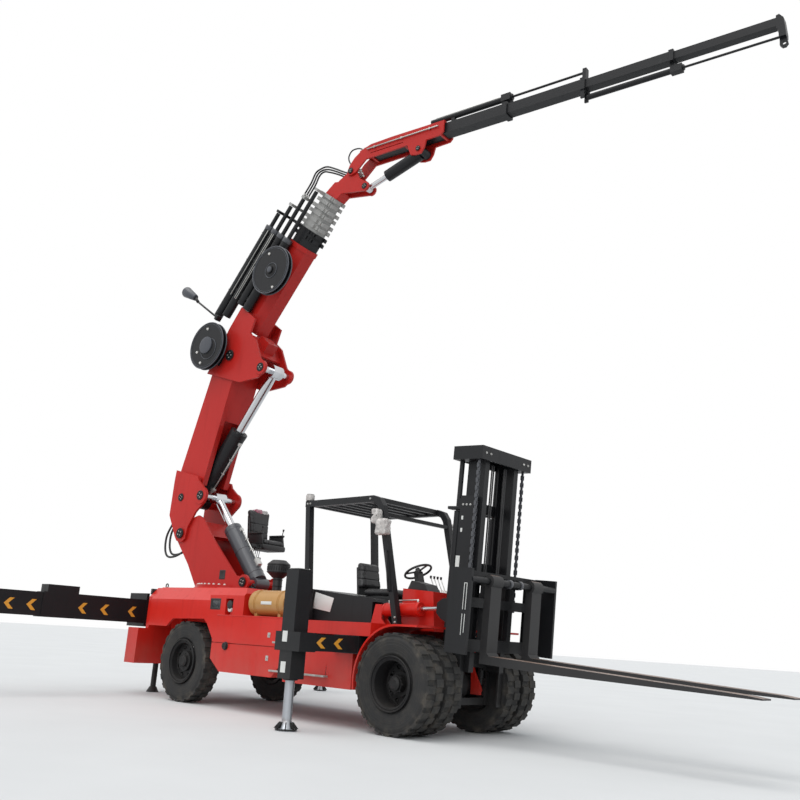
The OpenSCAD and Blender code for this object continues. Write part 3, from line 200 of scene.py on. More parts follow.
def moved(o, where):
    """Takes a piece drawn in a local frame to its place."""
    o.data.transform(where)
    return o


def joined(name, parts):
    unselected()
    for p in parts:
        p.select_set(True)
    bpy.context.view_layer.objects.active = parts[0]
    if len(parts) > 1:
        bpy.ops.object.join()
    parts[0].name = name
    return parts[0]


def repeated(name, pattern, places):
    """Copies of a pattern, which is drawn at the origin and used up, at each place."""
    copies = []
    for where in places:
        c = pattern.copy()
        c.data = pattern.data.copy()
        bpy.context.scene.collection.objects.link(c)
        c.data.transform(where)
        copies.append(c)
    bpy.data.objects.remove(pattern)
    return joined(name, copies)


def facing(at, way, spin=0.0):
    """A place whose Z looks along way."""
    return Matrix.Translation(at) @ Vector(way).to_track_quat("Z", "Y").to_matrix().to_4x4() @ Matrix.Rotation(
        spin, 4, "Z")


def bolt(size):
    """A hexagon bolt head on its washer, standing on Z = 0."""
    washer = bar("washer", size * 1.05, (0, 0, 0), (0, 0, size * 0.16), 20, size * 0.03)
    head = bar("head", size * 0.9, (0, 0, size * 0.12), (0, 0, size * 0.72), 6, size * 0.08)
    stud = bar("stud", size * 0.45, (0, 0, size * 0.5), (0, 0, size * 0.95), 12, size * 0.06)
    return joined("bolt", [washer, head, stud])


def bolts(name, size, spots, body, finish="zinc"):
    """Bolts at (point, way) spots of the body's frame."""
    return fit(repeated(name, bolt(size), [facing(p, w, 0.4 * i) for i, (p, w) in enumerate(spots)]), body, finish)


# Shader arithmetic
class Wire:
    """An output socket. Sums on it add Math nodes."""

    def __init__(self, paint, socket):
        self.paint, self.socket = paint, socket

    def __add__(self, other):
        return self.paint.sum("ADD", self, other)

    def __sub__(self, other):
        return self.paint.sum("SUBTRACT", self, other)

    def __rsub__(self, other):
        return self.paint.sum("SUBTRACT", other, self)

    def __mul__(self, other):
        return self.paint.sum("MULTIPLY", self, other)

    def __pow__(self, other):
        return self.paint.sum("POWER", self, other)

    __radd__, __rmul__ = __add__, __mul__


class Paint:
    """A material and the nodes that make it."""

    def __init__(self, name):
        self.material = bpy.data.materials.new(name)
        self.material.use_nodes = True
        self.tree = self.material.node_tree
        self.tree.nodes.clear()
        self.spot = self.add("ShaderNodeTexCoord", out="Object")

    def add(self, kind, settings={}, out=0, **sockets):
        """A node with its settings, then the values or wires of its sockets, by name or as n0, n1."""
        n = self.tree.nodes.new(kind)
        for k, v in settings.items():
            if k == "stops":
                for i, (at, colour) in enumerate(v):
                    stop = n.color_ramp.elements[i] if i < 2 else n.color_ramp.elements.new(at)
                    stop.position, stop.color = at, (*colour, 1)
            else:
                setattr(n, k, v)
        for k, v in sockets.items():
            s = n.inputs[int(k[1:])] if k[0] == "n" and k[1:].isdigit() else n.inputs[k.replace("_", " ")]
            if isinstance(v, Wire):
                self.tree.links.new(v.socket, s)
            elif isinstance(v, tuple) and len(v) == 3 and s.type == "RGBA":
                s.default_value = (*v, 1)
            else:
                s.default_value = v
        return Wire(self, n.outputs[out]) if n.outputs else n

    def sum(self, operation, a, b=0.0):
        return self.add("ShaderNodeMath", {"operation": operation}, n0=a, n1=b)

    def at(self, stretch):
        """Where a texture is read, with its axes stretched or not."""
        return self.spot if stretch is None else self.add("ShaderNodeMapping", Vector=self.spot, Scale=stretch)

    def noise(self, scale, detail=3.0, stretch=None, rough=0.55):
        return self.add("ShaderNodeTexNoise", Vector=self.at(stretch), Scale=scale, Detail=detail, Roughness=rough)

    def cells(self, scale, feature="F1", out="Distance", stretch=None):
        return self.add("ShaderNodeTexVoronoi", {"feature": feature}, out, Vector=self.at(stretch), Scale=scale)

    def step(self, low, high, value):
        """0 at low to 1 at high, eased at both ends."""
        return self.add("ShaderNodeMapRange", {"interpolation_type": "SMOOTHSTEP"}, Value=value, From_Min=low,
                        From_Max=high)

    def blend(self, share, a, b):
        return self.add("ShaderNodeMix", {"data_type": "RGBA"}, 2, n0=share, n6=a, n7=b)

    def axis(self, name, of=None):
        return self.add("ShaderNodeSeparateXYZ", out=name, Vector=of or self.spot)

    def finish(self, colour, roughness, height=None, depth=0.002, strength=0.5, **fixed):
        sockets = dict(Base_Color=colour, Roughness=roughness, **fixed)
        if height is not None:
            sockets["Normal"] = self.add("ShaderNodeBump", Strength=strength, Distance=depth, Height=height)
        shader = self.add("ShaderNodeBsdfPrincipled", **sockets)
        self.add("ShaderNodeOutputMaterial", Surface=shader)
        return self.material


def toned(colour, share, lift=0.0):
    return tuple(c * share + lift for c in colour)


def dusty(p, reach=1.5, most=0.55):
    """Road dust: thick near the ground and on faces that look up, thin above."""
    low = p.step(reach, 0.05, p.axis("Z"))
    up = p.step(0.55, 1.0, p.axis("Z", p.add("ShaderNodeNewGeometry", out="Normal")))
    patch = p.step(0.35, 0.72, p.noise(2.3, 5))
    return (low * most + up * 0.16) * (patch * 0.75 + 0.25)


def enamel(name, colour, roughness=0.3, dust=0.5, coat=0.35, pale=(0.24, 0.2, 0.16), shine=0.5):
    """Sprayed enamel on plate: slow shifts of tone, run-down streaks, dust low down and a few scratches."""
    p = Paint(name)
    slow = p.noise(0.7, 4)
    streak = p.step(0.5, 0.78, p.noise(5.0, 4, (2.2, 2.2, 0.22)))
    grime = dusty(p, most=dust)
    scratch = p.step(0.035, 0.012, p.cells(3.1, "DISTANCE_TO_EDGE", stretch=(1, 1, 3.5))) * p.step(
        0.6, 0.75, p.noise(4.4, 3))
    deep = toned(colour, 0.78)
    light = tuple(min(1, c * 1.14 + 0.004) for c in colour)
    shade = p.blend(slow, deep, light)
    shade = p.blend(streak * 0.22, shade, toned(colour, 0.5))
    shade = p.blend(scratch * 0.3, shade, toned(colour, 0.45, 0.03))
    shade = p.blend(grime, shade, pale)
    rough = roughness + grime * 0.45 + streak * 0.08 + p.noise(22, 3) * 0.1
    height = p.noise(260, 2) * 0.06 + p.noise(3.2, 3) * 0.6 - scratch * 0.15
    return p.finish(shade, rough, height, 0.0016, 0.35, Coat_Weight=coat, Coat_Roughness=0.12,
                    Specular_IOR_Level=shine)


def rubber(name, centre):
    """Tyre rubber round an axle at centre (x, z): moulded rings on the wall, scuffed lugs, dust in the grooves."""
    p = Paint(name)
    across = p.axis("X") - centre[0]
    up = p.axis("Z") - centre[1]
    radius = (across * across + up * up) ** 0.5
    rings = 0.0
    for r in (0.352, 0.372, 0.41, 0.462, 0.498):
        rings = p.step(0.006, 0.002, p.sum("ABSOLUTE", radius - r)) + rings
    tread = p.step(0.5, 0.56, radius)
    scuff = p.step(0.604, 0.614, radius)
    patch = p.noise(7, 5)
    dust = p.step(0.4, 0.75, patch) * (tread * 0.5 + 0.18)
    shade = p.blend(p.noise(1.6, 3), (0.012, 0.012, 0.0125), (0.024, 0.0235, 0.023))
    shade = p.blend(dust, shade, (0.105, 0.09, 0.072))
    shade = p.blend(scuff * 0.5, shade, (0.045, 0.043, 0.04))
    height = p.noise(130, 4) * 0.25 + rings * 1.4 + p.noise(34, 3) * 0.2
    return p.finish(shade, 0.78 + patch * 0.15 - rings * 0.05, height, 0.003, 0.6)


def polished(name, colour, roughness, along=(1, 1, 1)):
    """Ground or plated steel with fine marks across its length."""
    p = Paint(name)
    marks = p.noise(70, 3, along)
    film = p.step(0.45, 0.8, p.noise(4, 4))
    shade = p.blend(film * 0.35, colour, toned(colour, 0.55))
    return p.finish(shade, roughness + film * 0.16 + marks * 0.07, marks, 0.0006, 0.25, Metallic=1.0)


def worn_steel(name, colour):
    """Bare or galvanised steel with rub marks and brown stain."""
    p = Paint(name)
    rub = p.step(0.4, 0.7, p.noise(18, 4, (1, 1, 0.15)))
    stain = p.step(0.56, 0.8, p.noise(5, 6))
    shade = p.blend(rub * 0.5, colour, toned(colour, 0.6))
    shade = p.blend(stain * 0.55, shade, (0.16, 0.085, 0.05))
    return p.finish(shade, 0.34 + stain * 0.35 + rub * 0.12, p.noise(150, 3) * 0.2 + stain * 0.3, 0.001, 0.4,
                    Metallic=0.85)


def fork_steel(name):
    """Black painted forks, rubbed to brown steel on the upper face and along the tip."""
    p = Paint(name)
    up = p.step(0.8, 0.98, p.axis("Z", p.add("ShaderNodeNewGeometry", out="Normal")))
    rubbed = up * p.step(0.3, 0.62, p.noise(4.5, 6, (0.5, 1.6, 1)))
    drag = p.noise(30, 3, (0.08, 1.5, 1))
    shade = p.blend(p.noise(1.2, 4), (0.010, 0.010, 0.011), (0.024, 0.023, 0.023))
    shade = p.blend(rubbed * 0.85, shade, (0.21, 0.115, 0.075))
    shade = p.blend(rubbed * drag * 0.5, shade, (0.32, 0.27, 0.24))
    return p.finish(shade, 0.5 - rubbed * 0.08 + drag * 0.12, drag * rubbed + p.noise(120, 3) * 0.15, 0.0015, 0.4)


def moulded(name, colour, roughness=0.5, grain=420):
    """Moulded plastic or powder coat with a fine grain and a dust bloom."""
    p = Paint(name)
    bloom = p.step(0.4, 0.75, p.noise(3.5, 5))
    shade = p.blend(bloom * 0.25, colour, toned(colour, 0.7, 0.05))
    return p.finish(shade, roughness + bloom * 0.15, p.cells(grain) * 0.5 + p.noise(9, 3) * 0.6, 0.0007, 0.35)


def vinyl(name, colour):
    """Seat cover: pebbled vinyl, shinier where it is sat on."""
    p = Paint(name)
    pebble = p.cells(330) * 0.6 + p.noise(620, 2) * 0.4
    crease = p.step(0.06, 0.0, p.cells(7, "DISTANCE_TO_EDGE")) * p.step(0.5, 0.7, p.noise(6, 3))
    sat = p.step(0.38, 0.7, p.noise(2.2, 3))
    shade = p.blend(sat * 0.5, colour, toned(colour, 1.7, 0.008))
    return p.finish(shade, 0.52 - sat * 0.12 + pebble * 0.05, pebble - crease * 0.8, 0.0012, 0.45, Coat_Weight=0.08)


def film(name, colour, roughness=0.22):
    """Crumpled wrapping film."""
    p = Paint(name)
    fold = p.cells(26, "DISTANCE_TO_EDGE", stretch=(1, 1, 0.6)) + p.noise(45, 5) * 0.5
    tint = p.step(0.3, 0.7, p.noise(11, 4))
    shade = p.blend(tint, toned(colour, 0.62), colour)
    return p.finish(shade, roughness + p.noise(60, 3) * 0.2, fold, 0.006, 0.9, Coat_Weight=0.5)


def lens(name, colour):
    """Moulded lamp lens with a fine prism pattern."""
    p = Paint(name)
    prism = p.sum("SINE", p.axis("Y") * 520) + p.sum("SINE", p.axis("Z") * 520)
    shade = p.blend(p.noise(9, 3), toned(colour, 0.8), colour)
    return p.finish(shade, 0.14 + p.noise(20, 3) * 0.08, prism * 0.5, 0.001, 0.5, Coat_Weight=0.6)


def chequer(name, colour):
    """Ribbed tread plate."""
    p = Paint(name)
    rib = p.step(0.2, 0.6, p.sum("SINE", (p.axis("X") + p.axis("Y")) * 190) * p.sum(
        "SINE", (p.axis("X") - p.axis("Y")) * 190))
    grime = p.step(0.4, 0.7, p.noise(9, 5))
    shade = p.blend(grime * 0.6, colour, (0.2, 0.17, 0.14))
    return p.finish(shade, 0.45 + grime * 0.3, rib, 0.003, 0.6, Metallic=0.3)


# The crane's red is the truck's red painted darker. This is painted shade, standing for the shade on the booms'
# undersides.
RED, SHADED_CRANE_RED, BLACK = (0.6, 0.014, 0.007), (0.46, 0.013, 0.009), (0.0075, 0.008, 0.0095)
FINISH = {
    "paint_red": enamel("vermilion enamel", RED, 0.3, 0.28, 0.15, shine=0.3),
    "crane_red": enamel("crane red enamel with painted shade", SHADED_CRANE_RED, 0.36, 0.12, 0.08, shine=0.25),
    "black_paint": enamel("black enamel", BLACK, 0.42, 0.3, 0.1, (0.085, 0.078, 0.07), 0.25),
    "rim_black": enamel("wheel black", (0.008, 0.008, 0.009), 0.5, 0.3, 0.05, (0.06, 0.052, 0.045), 0.25),
    "cylinder_grey": enamel("cylinder grey", (0.06, 0.063, 0.072), 0.3, 0.1, 0.3),
    "reel_grey": enamel("reel grey", (0.062, 0.066, 0.078), 0.4, 0.1, 0.1, shine=0.35),
    "section_grey": enamel("section grey", (0.34, 0.335, 0.32), 0.4, 0.1, 0.15),
    "vessel_ochre": enamel("ochre enamel", (0.46, 0.235, 0.062), 0.36, 0.2, 0.2),
    "rod_chrome": polished("hard chrome", (0.62, 0.63, 0.65), 0.12),
    "leg_steel": worn_steel("worn leg steel", (0.42, 0.44, 0.47)),
    "seat_black": vinyl("black vinyl", (0.011, 0.011, 0.012)),
    "trim_black": moulded("black moulding", (0.012, 0.012, 0.013)),
    "zinc": worn_steel("zinc fastener", (0.55, 0.55, 0.53)),
    "white_bolt": moulded("white bolt cap", (0.72, 0.7, 0.66), 0.4),
    "plate_white": moulded("blank white plate", (0.66, 0.66, 0.63), 0.34, 200),
    "arrow": moulded("reflective orange film", (0.78, 0.34, 0.035), 0.3, 700),
    "hose": moulded("hose rubber", (0.011, 0.011, 0.012), 0.46, 260),
    "pipe": polished("plated pipe", (0.42, 0.42, 0.4), 0.26),
    "glass": lens("dark window glass", (0.02, 0.024, 0.028)),
    "lamp_red": lens("red lens", (0.5, 0.012, 0.01)),
    "lamp_clear": lens("clear lens", (0.5, 0.5, 0.48)),
    "lamp_amber": lens("amber lens", (0.72, 0.2, 0.012)),
    "film_pale": film("pale wrapping film", (0.6, 0.56, 0.53)),
    "film_pink": film("pink wrapping film", (0.55, 0.17, 0.24)),
    "tread": chequer("ribbed step plate", (0.42, 0.41, 0.39)),
    "mat": chequer("rubber mat", (0.02, 0.02, 0.02)),
    "forks": fork_steel("rubbed fork steel"),
    "drive_rubber": rubber("drive tyre rubber", (AXLE, WHEEL_Z)),
    "steer_rubber": rubber("steer tyre rubber", (AXLE + STEER_AXLE, WHEEL_Z)),
}


def coat(o, finish):
    o.data.materials.clear()
    o.data.materials.append(FINISH[finish])


def dress(o, body, finish):
    """Gives a piece its finish and lets it ride on a body."""
    coat(o, finish)
    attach(o, body)
    return o


def fit(o, body, finish, where=None):
    """Takes a piece from its body's frame, or another that is given, to its place and dresses it."""
    return dress(moved(o, where or frame_of(body)), body, finish)


def fit_all(name, parts, body, finish, where=None):
    return fit(joined(name, parts), body, finish, where)


for part in frame["record"]["subparts"]:
    node, slot = part["node"], part["material_slot"]
    finish = {"tyre_rubber": "drive_rubber" if node.startswith("drive") else "steer_rubber"}.get(slot, slot)
    coat(frame["nodes"][node], "forks" if node.startswith("fork_") else finish)


# Wheels: nuts, hub covers, lock rings and valves
def wheel_trim(name, x, y, side, disc, body, hub):
    """side is the way the wheel's outer face looks, disc its disc's distance from the wheel's middle."""
    at = Vector((x, y, WHEEL_Z))
    out = Vector((0, side, 0))
    face = at + out * (disc + 0.011)
    nuts = [(face + p, out) for p in spokes(10, 0.215)]
    bolts(name + "_nuts", 0.019, nuts, body, "rim_black")
    hub_bolts = [(at + out * (hub - 0.004) + p, out) for p in spokes(8, 0.115)]
    bolts(name + "_hub_bolts", 0.011, hub_bolts, body, "rim_black")
    cover = bar(name + "_cover", 0.088, at + out * (hub - 0.004), at + out * (hub + 0.03), 40, 0.006)
    sunk(cover, out, 0.024, -0.016)
    sunk(cover, out, 0.03, 0.006)
    fit(eased(cover, 0.002), body, "rim_black")
    ring = joined(name + "_lock_ring", [
        hoop("lock", 0.327, 0.009, at + out * 0.163, out, 72),
        hoop("gutter", 0.3, 0.007, at + out * 0.15, out, 72),
        hoop("seat", 0.246, 0.006, face, out, 60)])
    fit(ring, body, "rim_black")
    stem = bar(name + "_valve", 0.007, at + Vector((0.19, 0, 0.2)) + out * disc,
               at + Vector((0.215, 0, 0.225)) + out * (disc + 0.07), 12, 0.002)
    fit(stem, body, "zinc")


for side, s in SIDES:
    wheel_trim("drive_outer_" + s, 0, side * 0.9935, side, -0.09, "drive_wheel_" + s, 0.06)
    wheel_trim("steer_" + s, STEER_AXLE, side * 0.922, side, 0.05, "steer_wheel_" + s, 0.105)


# Side tanks, deck and steps
def fillers(side, s):
    y = side * TANK_Y
    out = (0, side, 0)
    cap = bar("tank_cap_" + s, 0.052, (TANK_CAP, y, 0.895), (TANK_CAP, y + side * 0.034, 0.895), 36, 0.005)
    sunk(cap, out, 0.014, 0.007)
    collar = hoop("collar", 0.056, 0.006, (TANK_CAP, y + side * 0.004, 0.895), out, 40)
    grip = plate("grip", (-3.482, y, 0.888), (-3.392, y + side * 0.04, 0.902), 0.004)
    fit_all("tank_cap_" + s, [cap, collar, grip], "truck", "trim_black")
    latches = []
    for z in (1.094, 0.775):
        seat = plate("latch", (-2.475, y - side * 0.004, z - 0.035), (-2.417, y + side * 0.008, z + 0.035), 0.004)
        sunk(seat, out, 0.008, 0.003)
        knob = bar("knob", 0.014, (-2.446, y, z), (-2.446, y + side * 0.022, z), 18)
        latches += [seat, knob]
    fit_all("latches_" + s, latches, "truck", "zinc")
    lip = plate("tank_lip_" + s, (-3.72, y, 1.335), (-2.14, y + side * 0.006, 1.35), 0.002)
    fit(lip, "truck", "paint_red")
    strip = plate("tank_strip_" + s, (-2.36, y, 0.985), (-2.15, y + side * 0.006, 1.012))
    fit(strip, "truck", "tread")
    steps = []
    for x0, x1, z in ((-2.36, -2.14, 0.6), (-1.77, -1.22, 0.6)):
        tread = plate("tread", (x0, side * 1.0, z), (x1, side * 1.13, z + 0.026), 0.004)
        sunk(tread, (0, 0, 1), 0.012, 0.004)
        steps.append(tread)
        for x in (x0 + 0.04, x1 - 0.05):
            steps.append(plate("hanger", (x, side * 1.02, z + 0.02), (x + 0.012, side * 1.05, z + 0.15), 0.002))
    fit_all("steps_" + s, steps, "truck", "tread")


def deck_side(side, s):
    """The dark window with its frame, and the breather cap, in the deck's two side openings."""
    y = side * TANK_Y
    out = (0, side, 0)
    rim = plate("window_frame", (-3.935, y - side * 0.06, 1.415), (-3.665, y + side * 0.006, 1.595), 0.02, 4)
    sunk(rim, out, 0.022, 0.02)
    fit(rim, "truck", "trim_black").name = "window_frame_" + s
    pane = plate("window_glass_" + s, (-3.91, y - side * 0.03, 1.442), (-3.69, y - side * 0.012, 1.568), 0.012, 3)
    fit(pane, "truck", "glass")
    neck = bar("neck", 0.038, (BREATHER, side * 0.955, 1.5), (BREATHER, side * 1.06, 1.5), 28, 0.004)
    head = bar("head", 0.064, (BREATHER, side * 1.045, 1.5), (BREATHER, side * 1.098, 1.5), 36, 0.008)
    sunk(head, out, 0.018, -0.006)
    fit_all("breather_" + s, [neck, head], "truck", "trim_black")
    foot = bar("breather_foot_" + s, 0.046, (BREATHER, side * 0.945, 1.44), (BREATHER, side * 1.09, 1.44), 24, 0.004)
    fit(foot, "truck", "plate_white")


def lamp_cluster(side, s):
    """Rear lamps on the apron beside the outrigger box."""
    x = -5.99
    case = plate("rear_lamp_case_" + s, (x - 0.05, side * 0.62, 1.64), (x + 0.002, side * 0.86, 1.74), 0.01, 3)
    sunk(case, (-1, 0, 0), 0.01, 0.012)
    fit(case, "truck", "trim_black")
    lenses = ("lamp_red", 0.63, 0.7), ("lamp_amber", 0.705, 0.775), ("lamp_clear", 0.78, 0.85)
    for i, (finish, a, b) in enumerate(lenses):
        glass = plate(f"rear_lens_{i}_{s}", (x - 0.054, side * a, 1.65), (x - 0.03, side * b, 1.73), 0.008, 3)
        sunk(glass, (-1, 0, 0), 0.006, -0.003)
        fit(glass, "truck", finish)


for side, s in SIDES:
    fillers(side, s)
    deck_side(side, s)
sheet = plate("deck_plate", (-4.2, -0.86, 1.757), (-3.6, -0.66, 1.7635), 0.002)
fit(sheet, "truck", "plate_white")
fit(plate("deck_plate_grey", (-3.56, -0.86, 1.757), (-3.22, -0.66, 1.7635), 0.002), "truck", "cylinder_grey")
ears = []
for x, y in ((-5.8, 0.7), (-5.8, -0.7), (-3.3, 0.8), (-3.3, -0.8)):
    foot = plate("eye_foot", (x - 0.05, y - 0.03, 1.755), (x + 0.05, y + 0.03, 1.772), 0.004)
    ears += [foot, hoop("eye", 0.034, 0.01, (x, y, 1.8), (0, 1, 0), 28)]
fit_all("lifting_eyes", ears, "truck", "black_paint")
flange = [((0.555 * math.cos(a), 0.555 * math.sin(a), 1.844), Z)
          for a in (math.radians(7.5 + i * 10) for i in range(36)) if abs(abs(0.555 * math.sin(a)) - 0.352) > 0.045]
bolts("column_bolts", 0.024, flange, "column", "white_bolt")


# Marks on the outriggers: plain orange arrows and blank plates
def arrow(at, towards, size=0.17):
    """An arrow on a face that looks along X, with its point towards +Y or -Y."""
    x, y, z = at
    o = plate("arrow", (x, y - 0.036, z - size / 2), (x + 0.003, y + 0.036, z + size / 2), 0)
    pick(o)
    bpy.ops.object.mode_set(mode="EDIT")
    bpy.ops.mesh.select_all(action="SELECT")
    bpy.ops.mesh.bisect(plane_co=(x, y, z), plane_no=(0, 0, 1))
    bpy.ops.object.mode_set(mode="OBJECT")
    pushed(o, lambda c: abs(c.z - z) < 0.001, (0, towards * 0.085, 0))
    return o


for side, s in SIDES:
    x = -6.192 if side < 0 else -6.446
    marks = [arrow((x, side * y, 1.33), side) for y in (1.04, 1.56, 1.96)]
    fit_all("beam_arrows_" + s, marks, "rear_stage_" + s, "arrow")
    far = [arrow((x - 0.0125, side * y, 1.33), side) for y in (2.83, 3.19)]
    fit_all("arm_arrows_" + s, far, "rear_arm_" + s, "arrow")
    x = -0.6624 if side < 0 else -0.8863
    marks = [arrow((x, side * y, 1.045), side, 0.13) for y in (1.4, 1.7)]
    fit_all("mid_arrows_" + s, marks, "mid_stage_" + s, "arrow")
    pads = []
    for z, face in ((1.1, 2.107), (0.735, 2.095)):
        pad = plate("blank", (-0.975, side * (face - 0.002), z - 0.065), (-0.885, side * (face + 0.004), z + 0.065),
                    0.002)
        pads.append(sunk(pad, (0, side, 0), 0.01, 0.0015))
    fit_all("post_plates_" + s, pads, "mid_stage_" + s, "plate_white")


# Legs: pad plates, bolts and the hose unions at their heads
def leg_trim(x, y, jack, stage, top):
    rib = plate("rib", (x + 0.045, y - 0.006, 0.024), (x + 0.15, y + 0.006, 0.1), 0.002)
    pushed(rib, lambda c: c.x > x + 0.1 and c.z > 0.05, (-0.06, 0, 0))
    ribs = repeated("ribs", rib, round_post(x, y, 8))
    low = hoop("ring", 0.128, 0.008, (x, y, 0.014), (0, 0, 1))
    fit_all(f"foot_ribs_{jack}", [ribs, low], jack, "rim_black")
    gland = hoop("gland", 0.083, 0.012, (x, y, top[0] - 0.005), (0, 0, 1), 40)
    fit(gland, stage, "black_paint").name = f"gland_{jack}"
    cap = plate("cap", (x - 0.105, y - 0.105, top[1] - 0.002), (x + 0.105, y + 0.105, top[1] + 0.018), 0.006)
    sunk(cap, (0, 0, 1), 0.02, -0.008)
    fit(cap, stage, "black_paint").name = f"leg_cap_{jack}"
    corners = [((x + i, y + j, top[1] + 0.017), Z) for i in (-0.085, 0.085) for j in (-0.085, 0.085)]
    bolts(f"cap_bolts_{jack}", 0.011, corners, stage)
    union = joined("union", [bar("nut", 0.021, (x - 0.117, y, top[1] - 0.1), (x - 0.15, y, top[1] - 0.1), 6, 0.002),
                             bar("tail", 0.013, (x - 0.14, y, top[1] - 0.1), (x - 0.19, y, top[1] - 0.1), 16, 0.002)])
    fit(union, stage, "zinc").name = f"union_{jack}"


for side, s in SIDES:
    leg_trim(-0.905, side * 1.98, "mid_jack_" + s, "mid_stage_" + s, (0.6, 1.91))
    leg_trim(-6.44 - side * 0.127, side * 3.85, "rear_jack_" + s, "rear_arm_" + s, (0.52, 1.7))


# Seats: foam pads blown up under their cover by simulation, then sewn
def stuffed(o, swell, voxel=0.009):
    """Foam under a cover. Points move no further than swell."""
    modified(o, "REMESH", mode="VOXEL", voxel_size=voxel)
    pick(o)
    start = [v.co.copy() for v in o.data.vertices]
    cloth = o.modifiers.new("cover", "CLOTH")
    cloth.settings.quality = 4
    cloth.settings.mass = 0.3
    cloth.settings.tension_stiffness = cloth.settings.compression_stiffness = 12
    cloth.settings.bending_stiffness = 1.5
    cloth.settings.use_pressure = True
    cloth.settings.uniform_pressure_force = 4
    cloth.settings.effector_weights.gravity = 0
    for n in range(1, 21):
        bpy.context.scene.frame_set(n)
    ready = o.evaluated_get(bpy.context.evaluated_depsgraph_get())
    end = [v.co.copy() for v in ready.data.vertices]
    o.modifiers.remove(cloth)
    bpy.context.scene.frame_set(1)
    for v, a, b in zip(o.data.vertices, start, end):
        step = b - a
        v.co = a + step * min(1.0, swell / max(step.length, 1e-6))
    modified(o, "SMOOTH", factor=0.5, iterations=4)
    modified(o, "SUBSURF", levels=1, render_levels=1)
    bpy.ops.object.shade_smooth()
    return o


def sewn(o, line, depth, width=0.008):
    """Presses a seam where line(point) is 0, in metres."""
    for v, n in [(v, v.normal.copy()) for v in o.data.vertices]:
        v.co -= n * depth * math.exp(-(line(v.co) / width) ** 2)
    return o


def pad(name, low, high, swell, body, seams, shape=None, ease=0.04):
    o = plate(name, low, high, ease, 4)
    if shape:
        for v in o.data.vertices:
            v.co = shape(v.co)
    stuffed(o, swell)
    for line in seams:
        sewn(o, line, 0.009)
    fit(o, body, "seat_black")
    return o


def lean_back(c):
    return Vector((c.x - 0.16 * (c.z - 1.83), c.y * (1 - 0.12 * max(0.0, (c.z - 2.0) / 0.23)), c.z))


seat_pad = pad("seat_cushion", (-1.485, -0.245, 1.735), (-0.95, 0.245, 1.815), 0.016, "truck",
               [lambda c: abs(c.y) - 0.15, lambda c: c.x + 1.3, lambda c: c.x + 1.13])
pad("seat_back", (-1.625, -0.225, 1.83), (-1.525, 0.225, 2.215), 0.014, "truck",
    [lambda c: abs(c.y) - 0.14, lambda c: c.z - 1.97, lambda c: c.z - 2.09], lean_back)
shell = plate("seat_shell", (-1.64, -0.2, 1.74), (-1.6, 0.2, 2.14), 0.015, 3)
pushed(shell, lambda c: c.z > 1.9, (-0.045, 0, 0))
rails = [plate("rail", (-1.46, y - 0.02, 1.66), (-1.0, y + 0.02, 1.735), 0.004) for y in (-0.17, 0.17)]
for rail in rails:
    pushed(rail, lambda c: c.x < -1.2 and c.z < 1.7, (0, 0, 0.03))
fit_all("seat_frame", [shell, *rails], "truck", "trim_black")
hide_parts("seat")


CRANE_SEAT_Y, CRANE_SEAT_ARMS = 0.84, (0.575, 1.105)


def reclined(c):
    return Vector((c.x - 0.13 * (c.z - 2.7), c.y + (c.y - CRANE_SEAT_Y) * (-0.25 * max(0.0, (3.0 - c.z) / 0.3)), c.z))


crane_pad = pad("crane_seat_cushion", (-0.27, 0.59, 2.655), (0.13, 1.09, 2.735), 0.014, "column",
                [lambda c: abs(c.y - CRANE_SEAT_Y) - 0.15, lambda c: c.x + 0.07])
pad("crane_seat_back", (-0.36, 0.575, 2.7), (-0.25, 1.105, 3.315), 0.016, "column",
    [lambda c: abs(c.y - CRANE_SEAT_Y) - 0.17, lambda c: c.z - 3.05, lambda c: c.z - 2.9], reclined, 0.05)


def crumpled(name, low, high, body, finish, depth=0.02):
    """Loose film pulled round something: a remeshed bag with folds pushed in and out."""
    o = plate(name, low, high, 0.03, 3)
    modified(o, "REMESH", mode="VOXEL", voxel_size=0.012)
    folds = bpy.data.textures.new(name + "_folds", "CLOUDS")
    folds.noise_scale, folds.noise_depth = 0.07, 2
    modified(o, "DISPLACE", texture=folds, strength=depth * 2, mid_level=0.5, texture_coords="LOCAL")
    modified(o, "SMOOTH", factor=0.4, iterations=1)
    bpy.ops.object.shade_smooth()
    return fit(o, body, finish)


crumpled("seat_film_pink", (-0.46, 0.72, 3.24), (-0.3, 0.88, 3.33), "column", "film_pink")
crumpled("seat_film_pale", (-0.47, 0.84, 3.23), (-0.31, 1.02, 3.325), "column", "film_pale")
crumpled("lamp_film_upper_r", (-0.79, -0.89, 2.66), (-0.67, -0.765, 2.86), "truck", "film_pale")
crumpled("lamp_film_lower_r", (-0.685, -0.9, 2.5), (-0.5, -0.765, 2.72), "truck", "film_pale", 0.025)
crumpled("lamp_film_l", (-0.79, 0.765, 2.66), (-0.67, 0.89, 2.86), "truck", "film_pale")

# Crane seat's frame: pan, side shells, arms and the bracket to the column
pan = plate("pan", (-0.33, 0.56, 2.56), (0.14, 1.12, 2.66), 0.03, 3)
sunk(pan, Z, 0.03, 0.02)
back = plate("back", (-0.42, 0.6, 2.66), (-0.36, 1.08, 3.2), 0.02, 3)
pushed(back, lambda c: c.z < 2.9, (0.06, 0, 0))
frame_parts = [pan, back, plate("bracket", (-0.24, 0.352, 2.57), (0.04, 0.562, 2.64), 0.008)]
for y in CRANE_SEAT_ARMS:
    side_plate = plate("side", (-0.3, y - 0.015, 2.65), (0.1, y + 0.015, 2.84), 0.012, 3)
    pushed(side_plate, lambda c: c.x > 0 and c.z > 2.75, (-0.04, 0, 0))
    frame_parts += [side_plate, plate("arm", (-0.29, y - 0.032, 2.835), (0.07, y + 0.032, 2.875), 0.015, 3)]
fit_all("crane_seat_frame", frame_parts, "column", "trim_black")
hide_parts("control_seat")
knobs = []
